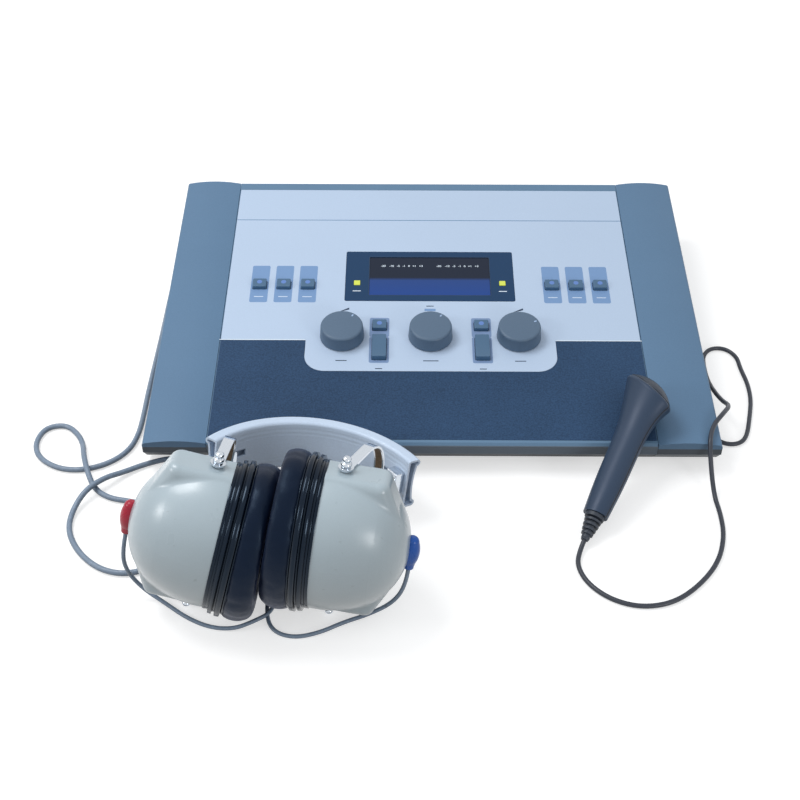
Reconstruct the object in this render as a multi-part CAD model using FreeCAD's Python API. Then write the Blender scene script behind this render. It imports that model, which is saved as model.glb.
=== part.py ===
"""Desktop audiometer: a sloping console, a pair of noise-excluding earphones on a headband,
and a hand-held response switch, each piece a solid of its own.

Millimetres. +X is to the user's right, +Y is away from the user, +Z is up. The origin is on the
table, under the middle of the set.
"""
import FreeCAD
import Part
import math
import os
from FreeCAD import Matrix, Placement, Rotation, Vector

# ---------------------------------------------------------------- console
console_width = 390.0
panel_depth = 276.3          # along the sloping top
panel_tilt = 6.0             # degrees
front_height = 24.0          # table to the front top edge
front_y = -63.0              # the console's front edge
nose_height = 10.5           # the upright front face
undercut = 9.0               # the tray starts this far behind the front face
floor_gap = 4.5              # table to the tray
wall = 2.5
seam = 0.25                  # gap between neighbouring mouldings
end_cap_width = 43.0
end_cap_crown = 2.0
back_lip = 8.0
front_bevel = 1.8
nose_round = 2.0
rear_plate = 2.0

# ---------------------------------------------------------------- control panel (u across, v up the slope)
overlay_thickness = 0.5
overlay_front_v = 4.0
overlay_back_v = 268.5
white_from_v = 98.0
bib_half_width = 90.0
bib_bottom_v = 67.5
bib_corner = 14.5
key_hole_gap = 0.3
key_travel = 1.0
function_key = (10.2, 8.8, 3.0)      # across, up the slope, height above the panel
function_key_inset = 24.5            # outer key, in from the tray's end
function_key_pitch = 18.05
function_key_v = 155.7
signal_key = (10.4, 9.0, 3.0)
signal_key_v = 112.3
tone_bar = (10.2, 22.4, 4.0)
tone_bar_v = 89.6
tone_key_u = 37.0
finger_dish = 0.9
key_skirt = 5.0                      # how far a key reaches below the panel's face
key_flange = 1.2
knob_radius = 16.0
knob_height = 11.5
knob_gap = 0.5
knob_draft = 0.7
knob_v = 102.0
knob_u = (-63.8, 0.0, 63.8)
spindle_radius = 3.0
spindle_gap = 0.08
window_size = (126.6, 54.6, 1.8)
window_v = 166.3
window_corner = 1.5
window_lip = 2.5
screen_border = (18.0, 6.4)          # the window's edge to the screen's
screen_frame = (3.0, 2.0)            # the frame's border round the screen
indicator_size = (4.6, 4.8)
indicator_u = 54.6
indicator_v = 158.3
board_depth = 10.0                   # panel face to the board's upper side
board_inset = 10.0                   # in from the tray's end
board_run = 124.0
board_thickness = 1.6
board_v = 126.0
encoder_size = 13.0
switch_size = 6.0

# ---------------------------------------------------------------- rear connectors
jack_inset = 27.0                    # first socket, in from the tray's end
jack_pitch = 25.0
jack_z = 24.0
jack_bore = 3.2
jack_bush = 4.6
jack_depth = 18.0
entry_inset = 40.0                   # in from the other end
entry_size = (42.0, 17.0)
rocker_size = (13.0, 10.0)
rocker_angle = 8.0
rocker_pin = (1.6, 0.9)               # radius, length beyond the rocker's side
rocker_pin_gap = 0.08
inlet_bore = 2.9

# ---------------------------------------------------------------- feet and screws
foot_radius = 7.5
foot_sink = 1.0
foot_inset = 20.0                    # in from the tray's end
foot_y = (24.0, 252.0)               # behind the front edge
screw_inset = 34.0
screw_y = (44.0, 232.0)
screw_radius = 1.5
screw_head = 3.0

# ---------------------------------------------------------------- earphones (x outward, y to the crown, z along the studs)
rim_width = 41.0                     # half the flange, towards the crown
rim_length = 50.0                    # half the flange, along the studs
cushion_face_x = -41.7
cushion_root_x = -21.8
cushion_mouth = 24.0                 # half its opening
pad_gap = 0.4                        # between the two cushions where they meet
flange_x = (-21.5, -10.5)
dome_depth = 54.0
cup_step = 3.2                       # from the flange's rim in to the cup's edge
shell_wall = 2.2
shoulder_height = 46.2
shoulder_top = (36.5, 12.5)          # outward length, half width
shoulder_draft = (12.8, 1.5)         # how far its end and its sides spread on the way down
shoulder_low = 18.0
shoulder_round = (7.0, 5.0)          # its outer corners, its ridge
shoulder_blend = 4.0                 # the hollow round where it runs into the dome
strap_gap = 0.3
strap = (6.4, 1.3)                   # width, thickness
stud_radius = 1.8
strap_bore_gap = 0.08
stud_rise = 7.6
yoke_reach = 53.0
yoke_bend = 26.0
earphone_radius = 22.0
left_pivot = Vector(-138.3, -169.4, 54.2)
left_turn = (15.4, 13.6, -5.4)       # lean back, lean right, turn about the vertical
right_pivot = Vector(-57.8, -174.2, 54.6)
right_turn = (14.7, 5.1, -7.8)

# ---------------------------------------------------------------- headband
band_point = Vector(-97.85, -171.5, 53.5)
band_turn = (12.0, 6.0, -8.0)
band_centre = (17.0, 30.0)
band_radius = 81.4
band_width = 36.0
band_thickness = 9.0
band_waist = 5.6
band_skin = 1.4
band_left = 64.7                     # degrees from the crown
band_right = 50.0
slider_angle = 6.0                   # the block's middle, in from the band's end
slider_size = (7.0, 10.0, 16.0)      # inward, along the band, across it
slider_gap = 0.3
slot_half = 2.6
slide_range = 12.0                   # degrees along the band

# ---------------------------------------------------------------- response switch
handset_tail = Vector(105.0, -115.4, 11.6)
handset_axis = Vector(0.428, 0.830, 0.357)
handset_roll = 20.0                  # the top leans to the left
# along the handle, half width, half height, slant of the section in degrees
handset_sections = ((0.0, 8.5, 7.5, 0.0), (15.0, 9.6, 8.0, 0.0), (45.0, 10.5, 8.5, 0.0),
                    (66.0, 11.5, 9.0, 3.0), (80.0, 14.2, 11.0, 10.0), (91.0, 18.2, 13.5, 19.0),
                    (98.0, 21.5, 15.5, 26.0))
handset_wall = 1.9
mouth_ring = 2.5
rim_round = 2.2                      # the lip of the head
button_gap = 0.3
button_dome = 7.0
button_travel = 1.2
button_skirt = 2.4
bulkhead_depth = (3.8, 5.0)
button_stem = 4.0
relief_length = 18.7
relief_end_radius = 2.4

# ---------------------------------------------------------------- cords
lead_radius = 1.3
cable_radius = 1.9
cord_radius = 1.6
coil_turns_across = 11.0             # a put-away coil's middle, in cord diameters
plug_sleeve = (5.6, 21.0)            # radius, length
tail_radius = 1.4                    # the cord's two tails, at the headset's plugs
headset_plug_at = ((-70.0, 21.0, 8.5), (-70.6, 8.0, 0.3))    # x, y past the coil, tail
handset_plug_at = (84.0, 19.0, 6.8)

half_width = console_width / 2
half_middle = half_width - end_cap_width
function_key_u = tuple(half_middle - function_key_inset - function_key_pitch * n for n in (2, 1, 0))
screen_size = (window_size[0] - 2 * screen_border[0], window_size[1] - 2 * screen_border[1])
board_size = (2 * (half_middle - board_inset), board_run, board_thickness)
jack_x = tuple(jack_inset - half_middle + jack_pitch * n for n in range(4))
entry_x = half_middle - entry_inset
foot_x = half_middle - foot_inset
screw_x = half_middle - screw_inset
panel_run = panel_depth * math.cos(math.radians(panel_tilt))
back_height = front_height + panel_depth * math.sin(math.radians(panel_tilt))
back_y = front_y + panel_run
nose_bottom = front_height - nose_height
stretch = rim_length / rim_width
panel_place = Placement(Vector(0, front_y, front_height), Rotation(Vector(1, 0, 0), panel_tilt))
key_flange_top = -wall - key_hole_gap
switch_top = -key_skirt - key_travel - 0.1

os.makedirs("parts", exist_ok=True)


# ================================================================ helpers
def save(name, *solids):
    """Write one node's STEP file."""
    shape = solids[0] if len(solids) == 1 else Part.makeCompound(list(solids))
    if not shape.isValid():
        print("not valid:", name)
    if len(shape.Solids) == 1:
        shape = shape.Solids[0]
    shape.exportStep("parts/" + name + ".step")
    box = shape.optimalBoundingBox()
    print("%-22s %d solids %7.0f mm3  %s" % (name, len(shape.Solids), shape.Volume, extent(box)))
    return shape


def extent(box):
    return "x %.1f %.1f y %.1f %.1f z %.1f %.1f" % (
        box.XMin, box.XMax, box.YMin, box.YMax, box.ZMin, box.ZMax)


def block(x0, x1, y0, y1, z0, z1):
    return Part.makeBox(x1 - x0, y1 - y0, z1 - z0, Vector(x0, y0, z0))


def plate(width, depth, low, high, corner, u=0.0, v=0.0):
    """A flat plate with rounded corners, centred on (u, v)."""
    body = block(u - width / 2, u + width / 2, v - depth / 2, v + depth / 2, low, high)
    if corner > 0:
        upright = [e for e in body.Edges if abs(e.tangentAt(e.FirstParameter).z) > 0.9]
        body = body.makeFillet(corner, upright)
    return body


def disc(radius, low, high, u=0.0, v=0.0):
    return Part.makeCylinder(radius, high - low, Vector(u, v, low))


def on_panel(shape):
    shape = shape.copy()
    shape.transformShape(panel_place.toMatrix(), True)
    return shape


def moved(shape, place):
    shape = shape.copy()
    shape.transformShape(place.toMatrix(), True)
    return shape


def prism_x(outline, x0, x1):
    """Extrude an outline of (y, z) points along X."""
    wire = Part.makePolygon([Vector(x0, y, z) for y, z in outline + outline[:1]])
    return Part.Face(wire).extrude(Vector(x1 - x0, 0, 0))


def section_wire(edges):
    return Part.Wire(edges)


def line(a, b):
    return Part.LineSegment(Vector(*a), Vector(*b)).toShape()


def arc(a, b, c):
    return Part.Arc(Vector(*a), Vector(*b), Vector(*c)).toShape()


def turn_of(lean_back, lean_right, about_vertical):
    turn = Rotation(Vector(0, 0, 1), about_vertical)
    turn = turn.multiply(Rotation(Vector(0, 1, 0), lean_right))
    return turn.multiply(Rotation(Vector(1, 0, 0), -lean_back))


def show_axis(name, point, direction):
    print("axis %-18s at %.3f %.3f %.3f along %.5f %.5f %.5f" % (
        name, point.x, point.y, point.z, direction.x, direction.y, direction.z))


# ================================================================ console housing
def body_outline(above):
    """The console's side view, open upwards by the given amount for the crowned end caps."""
    return [
        (front_y, front_height + above),
        (front_y, nose_bottom + nose_round),
        (front_y + nose_round, nose_bottom),
        (front_y + undercut, floor_gap),
        (back_y - 6.0, floor_gap),
        (back_y, floor_gap + 7.0),
        (back_y, back_height + above),
    ]


def crown_prism(side, drop):
    """What lies under an end cap's gently crowned top, lowered by drop."""
    inner, outer = half_middle, half_width
    middle = (inner + outer) / 2
    round_off = 2.0
    near, far = -40.0, panel_depth + 40.0
    edges = [
        line((side * inner, near, -90), (side * inner, near, -drop)),
        arc((side * inner, near, -drop), (side * middle, near, end_cap_crown - drop),
            (side * (outer - round_off), near, -drop)),
        arc((side * (outer - round_off), near, -drop), (side * (outer - 0.6), near, -0.7 - drop),
            (side * outer, near, -round_off - drop)),
        line((side * outer, near, -round_off - drop), (side * outer, near, -90)),
        line((side * outer, near, -90), (side * inner, near, -90)),
    ]
    face = Part.Face(section_wire(edges))
    return on_panel(face.extrude(Vector(0, far - near, 0)))


def end_cap(side):
    outline = body_outline(6.0)
    inner, outer = sorted((side * half_middle, side * half_width))
    body = prism_x(outline, inner, outer).common(crown_prism(side, 0.0))
    wire = Part.makePolygon([Vector(0, y, z) for y, z in outline + outline[:1]])
    hollow_face = Part.Face(wire).makeOffset2D(-wall)
    hollow_face.translate(Vector(side * (half_middle - 1.0), 0, 0))
    hollow = hollow_face.extrude(Vector(side * (end_cap_width + 1.0 - wall), 0, 0))
    return body.cut(hollow.common(lower_space(wall)))


def lower_space(drop):
    """Everything more than drop below the panel's plane."""
    return on_panel(block(-half_width - 9, half_width + 9, -60, panel_depth + 60, -120, -drop))


def key_places():
    """Every push key: name, size, u, v."""
    places = []
    for side, hand in ((-1, "left"), (1, "right")):
        for u, row in zip(function_key_u, ("inner", "middle", "outer")):
            places.append(("%s_%s_key" % (hand, row), function_key, side * u, function_key_v))
        places.append((hand + "_signal_key", signal_key, side * tone_key_u, signal_key_v))
        places.append((hand + "_tone_bar", tone_bar, side * tone_key_u, tone_bar_v))
    return places


def panel_openings(low, high):
    """Cutters for the keys and spindles, in the panel's own frame."""
    cutters = []
    for name, size, u, v in key_places():
        gap = 2 * key_hole_gap
        cutters.append(plate(size[0] + gap, size[1] + gap, low, high, 1.0, u, v))
    for u in knob_u:
        cutters.append(disc(spindle_radius + 0.6, low, high, u, knob_v))
    return cutters


board_post_u = board_size[0] / 2 - 6.0
board_post_v = (board_v - board_size[1] / 2 + 6.0, board_v + board_size[1] / 2 - 6.0)
board_post_radius = 3.0
board_pin_radius = 1.3


def top_cover():
    run = panel_run
    rise = math.tan(math.radians(panel_tilt))
    thick = wall / math.cos(math.radians(panel_tilt))
    outline = [
        (front_y, nose_bottom + nose_round),
        (front_y, front_height - front_bevel),
        (front_y + front_bevel, front_height + front_bevel * rise),
        (front_y + run, back_height),
        (front_y + run, back_height - back_lip),
        (front_y + run - wall, back_height - back_lip),
        (front_y + run - wall, back_height - wall * rise - thick),
        (front_y + wall, front_height + wall * rise - thick),
        (front_y + wall, nose_bottom),
        (front_y + nose_round, nose_bottom),
    ]
    body = prism_x(outline, -half_middle + seam, half_middle - seam)
    recess = block(-half_middle, half_middle, overlay_front_v, overlay_back_v,
                   -overlay_thickness, 5.0)
    body = body.cut(on_panel(recess))
    window_well = plate(window_size[0] + 0.4, window_size[1] + 0.4, -window_size[2], 5.0,
                        window_corner, 0, window_v)
    through = plate(window_size[0] - 2 * window_lip, window_size[1] - 2 * window_lip, -9.0, 5.0,
                    window_corner, 0, window_v)
    for cutter in [window_well, through] + panel_openings(-9.0, 5.0):
        body = body.cut(on_panel(cutter))
    for u in (-board_post_u, board_post_u):
        for v in board_post_v:
            post = disc(board_post_radius, -board_depth, -wall, u, v)
            pin = disc(board_pin_radius, -board_depth - board_size[2] - 1.0, -board_depth, u, v)
            body = body.fuse(on_panel(post.fuse(pin)))
    under = lower_space(wall)
    for x in (-screw_x, screw_x):
        for y in screw_y:
            post = Part.makeCylinder(4.0, 90, Vector(x, front_y + y, floor_gap + wall))
            pilot = Part.makeCylinder(screw_radius + 0.1, 12, Vector(x, front_y + y, floor_gap))
            body = body.fuse(post.common(under)).cut(pilot)
    return body.removeSplitter()


def base_tray():
    top = nose_bottom - seam
    lean = undercut - nose_round
    outline = [
        (front_y + nose_round + 0.6, top),
        (front_y + undercut, floor_gap),
        (back_y - rear_plate - 0.5, floor_gap),
        (back_y - rear_plate - 0.5, floor_gap + 8.0),
        (back_y - rear_plate - 0.5 - wall, floor_gap + 8.0),
        (back_y - rear_plate - 0.5 - wall, floor_gap + wall),
        (front_y + undercut + 1.4, floor_gap + wall),
        (front_y + undercut + 1.4 - lean * 0.62, top),
    ]
    body = prism_x(outline, -half_middle + seam, half_middle - seam)
    for x in (-foot_x, foot_x):
        for y in foot_y:
            body = body.cut(Part.makeCylinder(foot_radius + 0.1, foot_sink + 1,
                                              Vector(x, front_y + y, floor_gap - 1)))
    for x in (-screw_x, screw_x):
        for y in screw_y:
            body = body.cut(Part.makeCylinder(screw_head + 0.2, 1.7 + 1,
                                              Vector(x, front_y + y, floor_gap - 1)))
            body = body.cut(Part.makeCylinder(screw_radius + 0.3, 9, Vector(x, front_y + y, 0)))
    vent_length, vent_width = 34.0, 3.0
    for k in range(6):
        y = front_y + 120.0 + k * 3 * vent_width
        slot = block(-vent_length / 2, vent_length / 2, y, y + vent_width, 0, 9)
        body = body.cut(slot)
    return body


def rubber_feet():
    feet = []
    for x in (-foot_x, foot_x):
        for y in foot_y:
            foot = Part.makeCone(foot_radius - 1.0, foot_radius, floor_gap,
                                 Vector(x, front_y + y, 0))
            stub = Part.makeCylinder(foot_radius, foot_sink, Vector(x, front_y + y, floor_gap))
            feet.append(foot.fuse(stub).removeSplitter())
    return feet


def case_screws():
    screws = []
    for x in (-screw_x, screw_x):
        for y in screw_y:
            at = Vector(x, front_y + y, floor_gap + 0.2)
            head = Part.makeCylinder(screw_head, 1.5, at)
            drive = Part.makeCylinder(1.2, 0.9, at)
            shank = Part.makeCylinder(screw_radius, 9.5, at)
            screws.append(head.fuse(shank).cut(drive))
    return screws


# ================================================================ control panel
def bib(low, high, grow):
    """The pale area: the upper panel and the rounded bib that reaches down round the knobs."""
    width = 2 * (bib_half_width + grow)
    bottom = bib_bottom_v - grow
    upper = block(-half_middle, half_middle, white_from_v - grow, overlay_back_v, low, high)
    depth = white_from_v + 40.0 - bottom
    lower = block(-width / 2, width / 2, bottom, bottom + depth, low, high)
    corners = [e for e in lower.Edges
               if abs(e.tangentAt(e.FirstParameter).z) > 0.9 and e.CenterOfMass.y < bottom + 1]
    lower = lower.makeFillet(bib_corner, corners)
    return upper.fuse(lower).removeSplitter()


def control_overlay():
    edge = half_middle - seam - 0.6
    sheet = bib(-overlay_thickness, 0.0, 0.0)
    sheet = sheet.common(block(-edge, edge, 0, overlay_back_v - 0.2, -5, 5))
    sheet = sheet.cut(plate(window_size[0] + 0.4, window_size[1] + 0.4, -5, 5, window_corner,
                            0, window_v))
    for cutter in panel_openings(-5, 5):
        sheet = sheet.cut(cutter)
    return on_panel(sheet)


def front_overlay():
    edge = half_middle - seam - 0.6
    sheet = block(-edge, edge, overlay_front_v + 0.2, white_from_v - 0.2, -overlay_thickness, 0.0)
    return on_panel(sheet.cut(bib(-5, 5, 0.2)))


def display_window():
    glass = plate(window_size[0], window_size[1], -window_size[2], 0.15, window_corner,
                  0, window_v)
    glass = glass.cut(plate(screen_size[0] + 0.4, screen_size[1] + 0.4, -9, 9, 0.6, 0, window_v))
    for u in (-indicator_u, indicator_u):
        glass = glass.cut(plate(indicator_size[0] + 0.4, indicator_size[1] + 0.4, -9, 9, 0, u,
                                indicator_v))
    return on_panel(glass)


def display_module():
    frame_low = -board_depth
    frame = plate(screen_size[0] + 2 * screen_frame[0], screen_size[1] + 2 * screen_frame[1],
                  frame_low, -window_size[2] - 0.3, 1.0, 0, window_v)
    screen = plate(screen_size[0], screen_size[1], -window_size[2] - 0.3, -0.25, 0.5, 0, window_v)
    return on_panel(frame.fuse(screen))


def indicator_lenses():
    return [on_panel(plate(indicator_size[0], indicator_size[1], -board_depth, 0.5, 0.4, u,
                           indicator_v)) for u in (-indicator_u, indicator_u)]


def circuit_board():
    board = plate(board_size[0], board_size[1], -board_depth - board_size[2], -board_depth, 2.0,
                  0, board_v)
    for u in (-board_post_u, board_post_u):
        for v in board_post_v:
            board = board.cut(disc(board_pin_radius + 0.2, -20, 0, u, v))
    return on_panel(board)


def key_switches():
    switches = []
    for name, size, u, v in key_places():
        base = plate(switch_size, switch_size, -board_depth, -board_depth + 3.2, 0.5, u, v)
        plunger = disc(1.6, -board_depth + 3.2, switch_top, u, v)
        switches.append(on_panel(base.fuse(plunger)))
    return switches


def encoders():
    made = []
    for u in knob_u:
        case = plate(encoder_size, encoder_size, -board_depth, -4.2, 0.8, u, knob_v)
        bush = disc(spindle_radius + 1.6, -4.2, -wall - 0.2, u, knob_v)
        well = disc(spindle_radius + spindle_gap, -8.6, 1, u, knob_v)
        made.append(on_panel(case.fuse(bush).cut(well)))
    return made


def push_key(size, u, v):
    """A moulded key cap with its retaining flange under the cover."""
    width, depth, height = size
    cap = block(-width / 2, width / 2, -depth / 2, depth / 2, -key_skirt, height)
    upright = [e for e in cap.Edges if abs(e.tangentAt(e.FirstParameter).z) > 0.9]
    cap = cap.makeFillet(0.9, upright)
    top = [e for e in cap.Edges if e.BoundBox.ZMin > height - 0.01]
    cap = cap.makeFillet(0.6, top)
    if depth > 15:
        dish_radius = (depth * depth / 4 / finger_dish + finger_dish) / 2
        dish = Part.makeCylinder(dish_radius, width + 2,
                                 Vector(-width / 2 - 1, 0, height + dish_radius - finger_dish),
                                 Vector(1, 0, 0))
        cap = cap.cut(dish)
    flange = block(-width / 2 - 1.2, width / 2 + 1.2, -depth / 2 - 1.2, depth / 2 + 1.2,
                   key_flange_top - key_flange, key_flange_top)
    cap = cap.fuse(flange)
    cap.translate(Vector(u, v, 0))
    return on_panel(cap)


def knob(u):
    """A turned knob: drafted skirt, rounded shoulder, shallow dished top, and its spindle."""
    bottom, top = knob_gap, knob_height
    rim = knob_radius - knob_draft
    shoulder = 1.8
    flat = rim - shoulder
    swell = 0.5
    ball = (flat ** 2 + swell ** 2) / (2 * swell)
    half_way = top + swell - ball + math.sqrt(ball ** 2 - (flat / 2) ** 2)
    edges = [
        line((0, 0, bottom), (knob_radius - 0.4, 0, bottom)),
        line((knob_radius - 0.4, 0, bottom), (knob_radius, 0, bottom + 0.4)),
        line((knob_radius, 0, bottom + 0.4), (rim, 0, top - shoulder)),
        arc((rim, 0, top - shoulder),
            (rim - shoulder * 0.3, 0, top - shoulder * 0.3), (flat, 0, top)),
        arc((flat, 0, top), (flat / 2, 0, half_way), (0, 0, top + swell)),
        line((0, 0, top + swell), (0, 0, bottom)),
    ]
    body = Part.Face(section_wire(edges)).revolve(Vector(0, 0, 0), Vector(0, 0, 1), 360)
    body = body.fuse(disc(spindle_radius, -8.3, bottom))
    body.translate(Vector(u, knob_v, 0))
    return on_panel(body)


# ================================================================ rear
def jack_hole(x):
    return Part.makeCylinder(jack_bush + 0.15, 9, Vector(x, back_y - 6, jack_z), Vector(0, 1, 0))


def rear_panel():
    outer_y = back_y - 0.5
    sheet = block(-half_middle + seam, half_middle - seam, outer_y - rear_plate, outer_y,
                  floor_gap, back_height - back_lip - seam)
    for x in jack_x:
        sheet = sheet.cut(jack_hole(x))
    width, height = entry_size[0] - 4.0, entry_size[1] - 4.0
    return sheet.cut(block(entry_x - width / 2 - 0.2, entry_x + width / 2 + 0.2, outer_y - 9,
                           outer_y + 1, jack_z - height / 2 - 0.2, jack_z + height / 2 + 0.2))


def jack_sockets():
    made = []
    outer_y = back_y - 0.5
    for x in jack_x:
        bush = Part.makeCylinder(jack_bush, 5.5, Vector(x, outer_y - rear_plate - 1.0, jack_z),
                                 Vector(0, 1, 0))
        nut_wire = Part.makePolygon([
            Vector(x + 6.6 * math.cos(k * math.pi / 3), outer_y,
                   jack_z + 6.6 * math.sin(k * math.pi / 3)) for k in range(7)])
        nut = Part.Face(nut_wire).extrude(Vector(0, 2.0, 0))
        case = block(x - 7, x + 7, outer_y - rear_plate - 22, outer_y - rear_plate,
                     jack_z - 7, jack_z + 7)
        bore = Part.makeCylinder(jack_bore, 40, Vector(x, outer_y + 2.5 - jack_depth, jack_z),
                                 Vector(0, 1, 0))
        made.append(case.fuse(bush).fuse(nut).cut(bore))
    return made


rocker_pivot = Vector(entry_x + 9.0, back_y - 1.5, jack_z)


def power_entry_module():
    outer_y = back_y - 0.5
    width, height = entry_size
    flange = block(entry_x - width / 2, entry_x + width / 2, outer_y, outer_y + 1.4,
                   jack_z - height / 2, jack_z + height / 2)
    case = block(entry_x - width / 2 + 2, entry_x + width / 2 - 2, outer_y - 17, outer_y,
                 jack_z - height / 2 + 2, jack_z + height / 2 - 2)
    body = flange.fuse(case).removeSplitter()
    bay_x = entry_x + 9.0
    body = body.cut(block(bay_x - rocker_size[0] / 2 - 0.3, bay_x + rocker_size[0] / 2 + 0.3,
                          outer_y - 6.5, outer_y + 9, jack_z - rocker_size[1] / 2 - 0.6,
                          jack_z + rocker_size[1] / 2 + 0.6))
    sides = rocker_size[0] / 2 + 0.3 + rocker_pin[1]
    body = body.cut(Part.makeCylinder(rocker_pin[0] + rocker_pin_gap, 2 * sides,
                                      rocker_pivot - Vector(sides, 0, 0), Vector(1, 0, 0)))
    inlet_x = entry_x - 11.0
    body = body.cut(Part.makeCylinder(inlet_bore, 12, Vector(inlet_x, outer_y - 9, jack_z),
                                      Vector(0, 1, 0)))
    pin = Part.makeCylinder(0.8, 8.0, Vector(inlet_x, outer_y - 9, jack_z), Vector(0, 1, 0))
    return body.fuse(pin)


def power_rocker():
    """A rocker with two sloping faces on its pivot pin, lying in its off position."""
    half_x, half_z = rocker_size[0] / 2, rocker_size[1] / 2
    y = rocker_pivot.y
    outline = [(y - 3.0, jack_z - 3.0), (y - 3.0, jack_z + 3.0), (y + 1.0, jack_z + half_z),
               (y + 3.4, jack_z + half_z), (y + 2.6, jack_z), (y + 3.4, jack_z - half_z),
               (y + 1.0, jack_z - half_z)]
    body = prism_x(outline, rocker_pivot.x - half_x, rocker_pivot.x + half_x)
    body.rotate(rocker_pivot, Vector(1, 0, 0), -rocker_angle)
    sides = half_x + rocker_pin[1]
    pin = Part.makeCylinder(rocker_pin[0], 2 * sides, rocker_pivot - Vector(sides, 0, 0),
                            Vector(1, 0, 0))
    return body.fuse(pin)


# ================================================================ earphones
left_place = Placement(left_pivot, turn_of(*left_turn))
right_place = Placement(right_pivot, turn_of(*right_turn))


def oval(shape):
    """Stretch a round turned piece along the studs into the cup's oval."""
    matrix = Matrix()
    matrix.scale(1.0, 1.0, stretch)
    return shape.transformGeometry(matrix)


def turned(edges):
    face = Part.Face(section_wire(edges))
    return face.revolve(Vector(0, 0, 0), Vector(1, 0, 0), 360)


def dome(inset):
    """The cup's domed solid before it is stretched: three arcs from its open edge to its pole."""
    root, depth = flange_x[1], dome_depth - inset
    radius = rim_width - cup_step - inset

    def at(f):
        return (root + depth * f, 0, radius * (1 - f ** 2.5) ** (1 / 2.05))
    return turned([
        arc(at(0.0), at(0.36), at(0.62)),
        arc(at(0.62), at(0.78), at(0.90)),
        arc(at(0.90), at(0.965), at(1.0)),
        line(at(1.0), (root, 0, 0)),
        line((root, 0, 0), at(0.0)),
    ])


def shoulder():
    """The flat-topped boss that carries a stud, on the +z side, before the stretch."""
    root = flange_x[1]
    length, half = shoulder_top
    low, high = shoulder_low / stretch, shoulder_height / stretch

    def rectangle(z, reach, wide):
        return Part.makePolygon([Vector(root, -wide, z), Vector(root + reach, -wide, z),
                                 Vector(root + reach, wide, z), Vector(root, wide, z),
                                 Vector(root, -wide, z)])
    body = Part.makeLoft([rectangle(low, length + shoulder_draft[0], half + shoulder_draft[1]),
                          rectangle(high, length, half)], True, True)
    corners = [e for e in body.Edges if e.BoundBox.ZLength > 1 and e.CenterOfMass.x > root + 1]
    body = body.makeFillet(shoulder_round[0], corners)
    ridge = [e for e in body.Edges if e.BoundBox.ZMin > high - 0.1 and e.CenterOfMass.x > root + 1]
    return body.makeFillet(shoulder_round[1], ridge)


def seams(body):
    """The edges where the shoulders run into the turned dome."""
    found = []
    for edge in body.Edges:
        beside = [isinstance(face.Surface, Part.SurfaceOfRevolution)
                  for face in body.ancestorsOfType(edge, Part.Face)]
        if sorted(beside) == [False, True] and edge.CenterOfMass.x > flange_x[1] + 0.05:
            found.append(edge)
    return found


def cup():
    outer = dome(0.0).fuse(shoulder())
    outer = outer.makeFillet(shoulder_blend, seams(outer))
    half = outer.common(block(-100, 100, -100, 100, 0, 100))
    outer = half.fuse(half.mirror(Vector(0, 0, 0), Vector(0, 0, 1))).removeSplitter()
    shell = outer.cut(dome(shell_wall))
    for sign in (1, -1):
        low, high = sorted((sign * 30.0, sign * (shoulder_height / stretch + 1)))
        shell = shell.cut(disc(stud_radius, low, high))
    return oval(shell)


def flange():
    back, front = flange_x[1], flange_x[0]
    rim = rim_width
    mouth = 30.0
    profile = [(back, mouth), (back, rim - 2.6), (back - 3.2, rim - 2.6), (back - 3.6, rim - 0.8),
               (back - 5.8, rim - 0.6), (back - 6.2, rim - 2.0), (back - 7.4, rim - 2.0),
               (back - 7.8, rim), (front + 0.5, rim), (front, rim - 0.6), (front, mouth)]
    ring = oval(turned([line((a[0], 0, a[1]), (b[0], 0, b[1]))
                        for a, b in zip(profile, profile[1:] + profile[:1])]))
    baffle = [(back, earphone_radius + 0.3), (back, mouth), (back - 2.0, mouth),
              (back - 2.0, earphone_radius + 0.3)]
    sheet = oval(turned([line((a[0], 0, a[1]), (b[0], 0, b[1]))
                         for a, b in zip(baffle, baffle[1:] + baffle[:1])]))
    return ring.fuse(sheet)


def cushion():
    face, root = cushion_face_x, cushion_root_x
    rim, mouth = rim_width, cushion_mouth
    crest = (rim - 5.2 + mouth + 1.6) / 2
    edges = [
        line((root, 0, mouth), (root, 0, rim - 3.0)),
        arc((root, 0, rim - 3.0), (root - 9.0, 0, rim - 1.3), (face + 1.6, 0, rim - 5.2)),
        arc((face + 1.6, 0, rim - 5.2), (face, 0, crest), (face + 1.4, 0, mouth + 1.6)),
        arc((face + 1.4, 0, mouth + 1.6), (face + 8.0, 0, mouth - 1.8), (root, 0, mouth)),
    ]
    return oval(turned(edges))


def earphone():
    """The driver capsule: a drum on the baffle with a perforated front and a stepped back."""
    radius = earphone_radius
    front, back = -26.0, -3.0
    edges = [
        line((front, 0, 0), (front, 0, radius - 3.0)),
        line((front, 0, radius - 3.0), (front + 2.0, 0, radius)),
        line((front + 2.0, 0, radius), (back - 6.0, 0, radius)),
        line((back - 6.0, 0, radius), (back - 6.0, 0, radius - 6.0)),
        line((back - 6.0, 0, radius - 6.0), (back, 0, radius - 6.0)),
        line((back, 0, radius - 6.0), (back, 0, 0)),
        line((back, 0, 0), (front, 0, 0)),
    ]
    body = turned(edges)
    reach = 35.4
    lug = block(flange_x[0] + 0.5, flange_x[0] + 2.3, -7.0, 7.0, -reach, reach)
    return body.fuse(lug)


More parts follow.
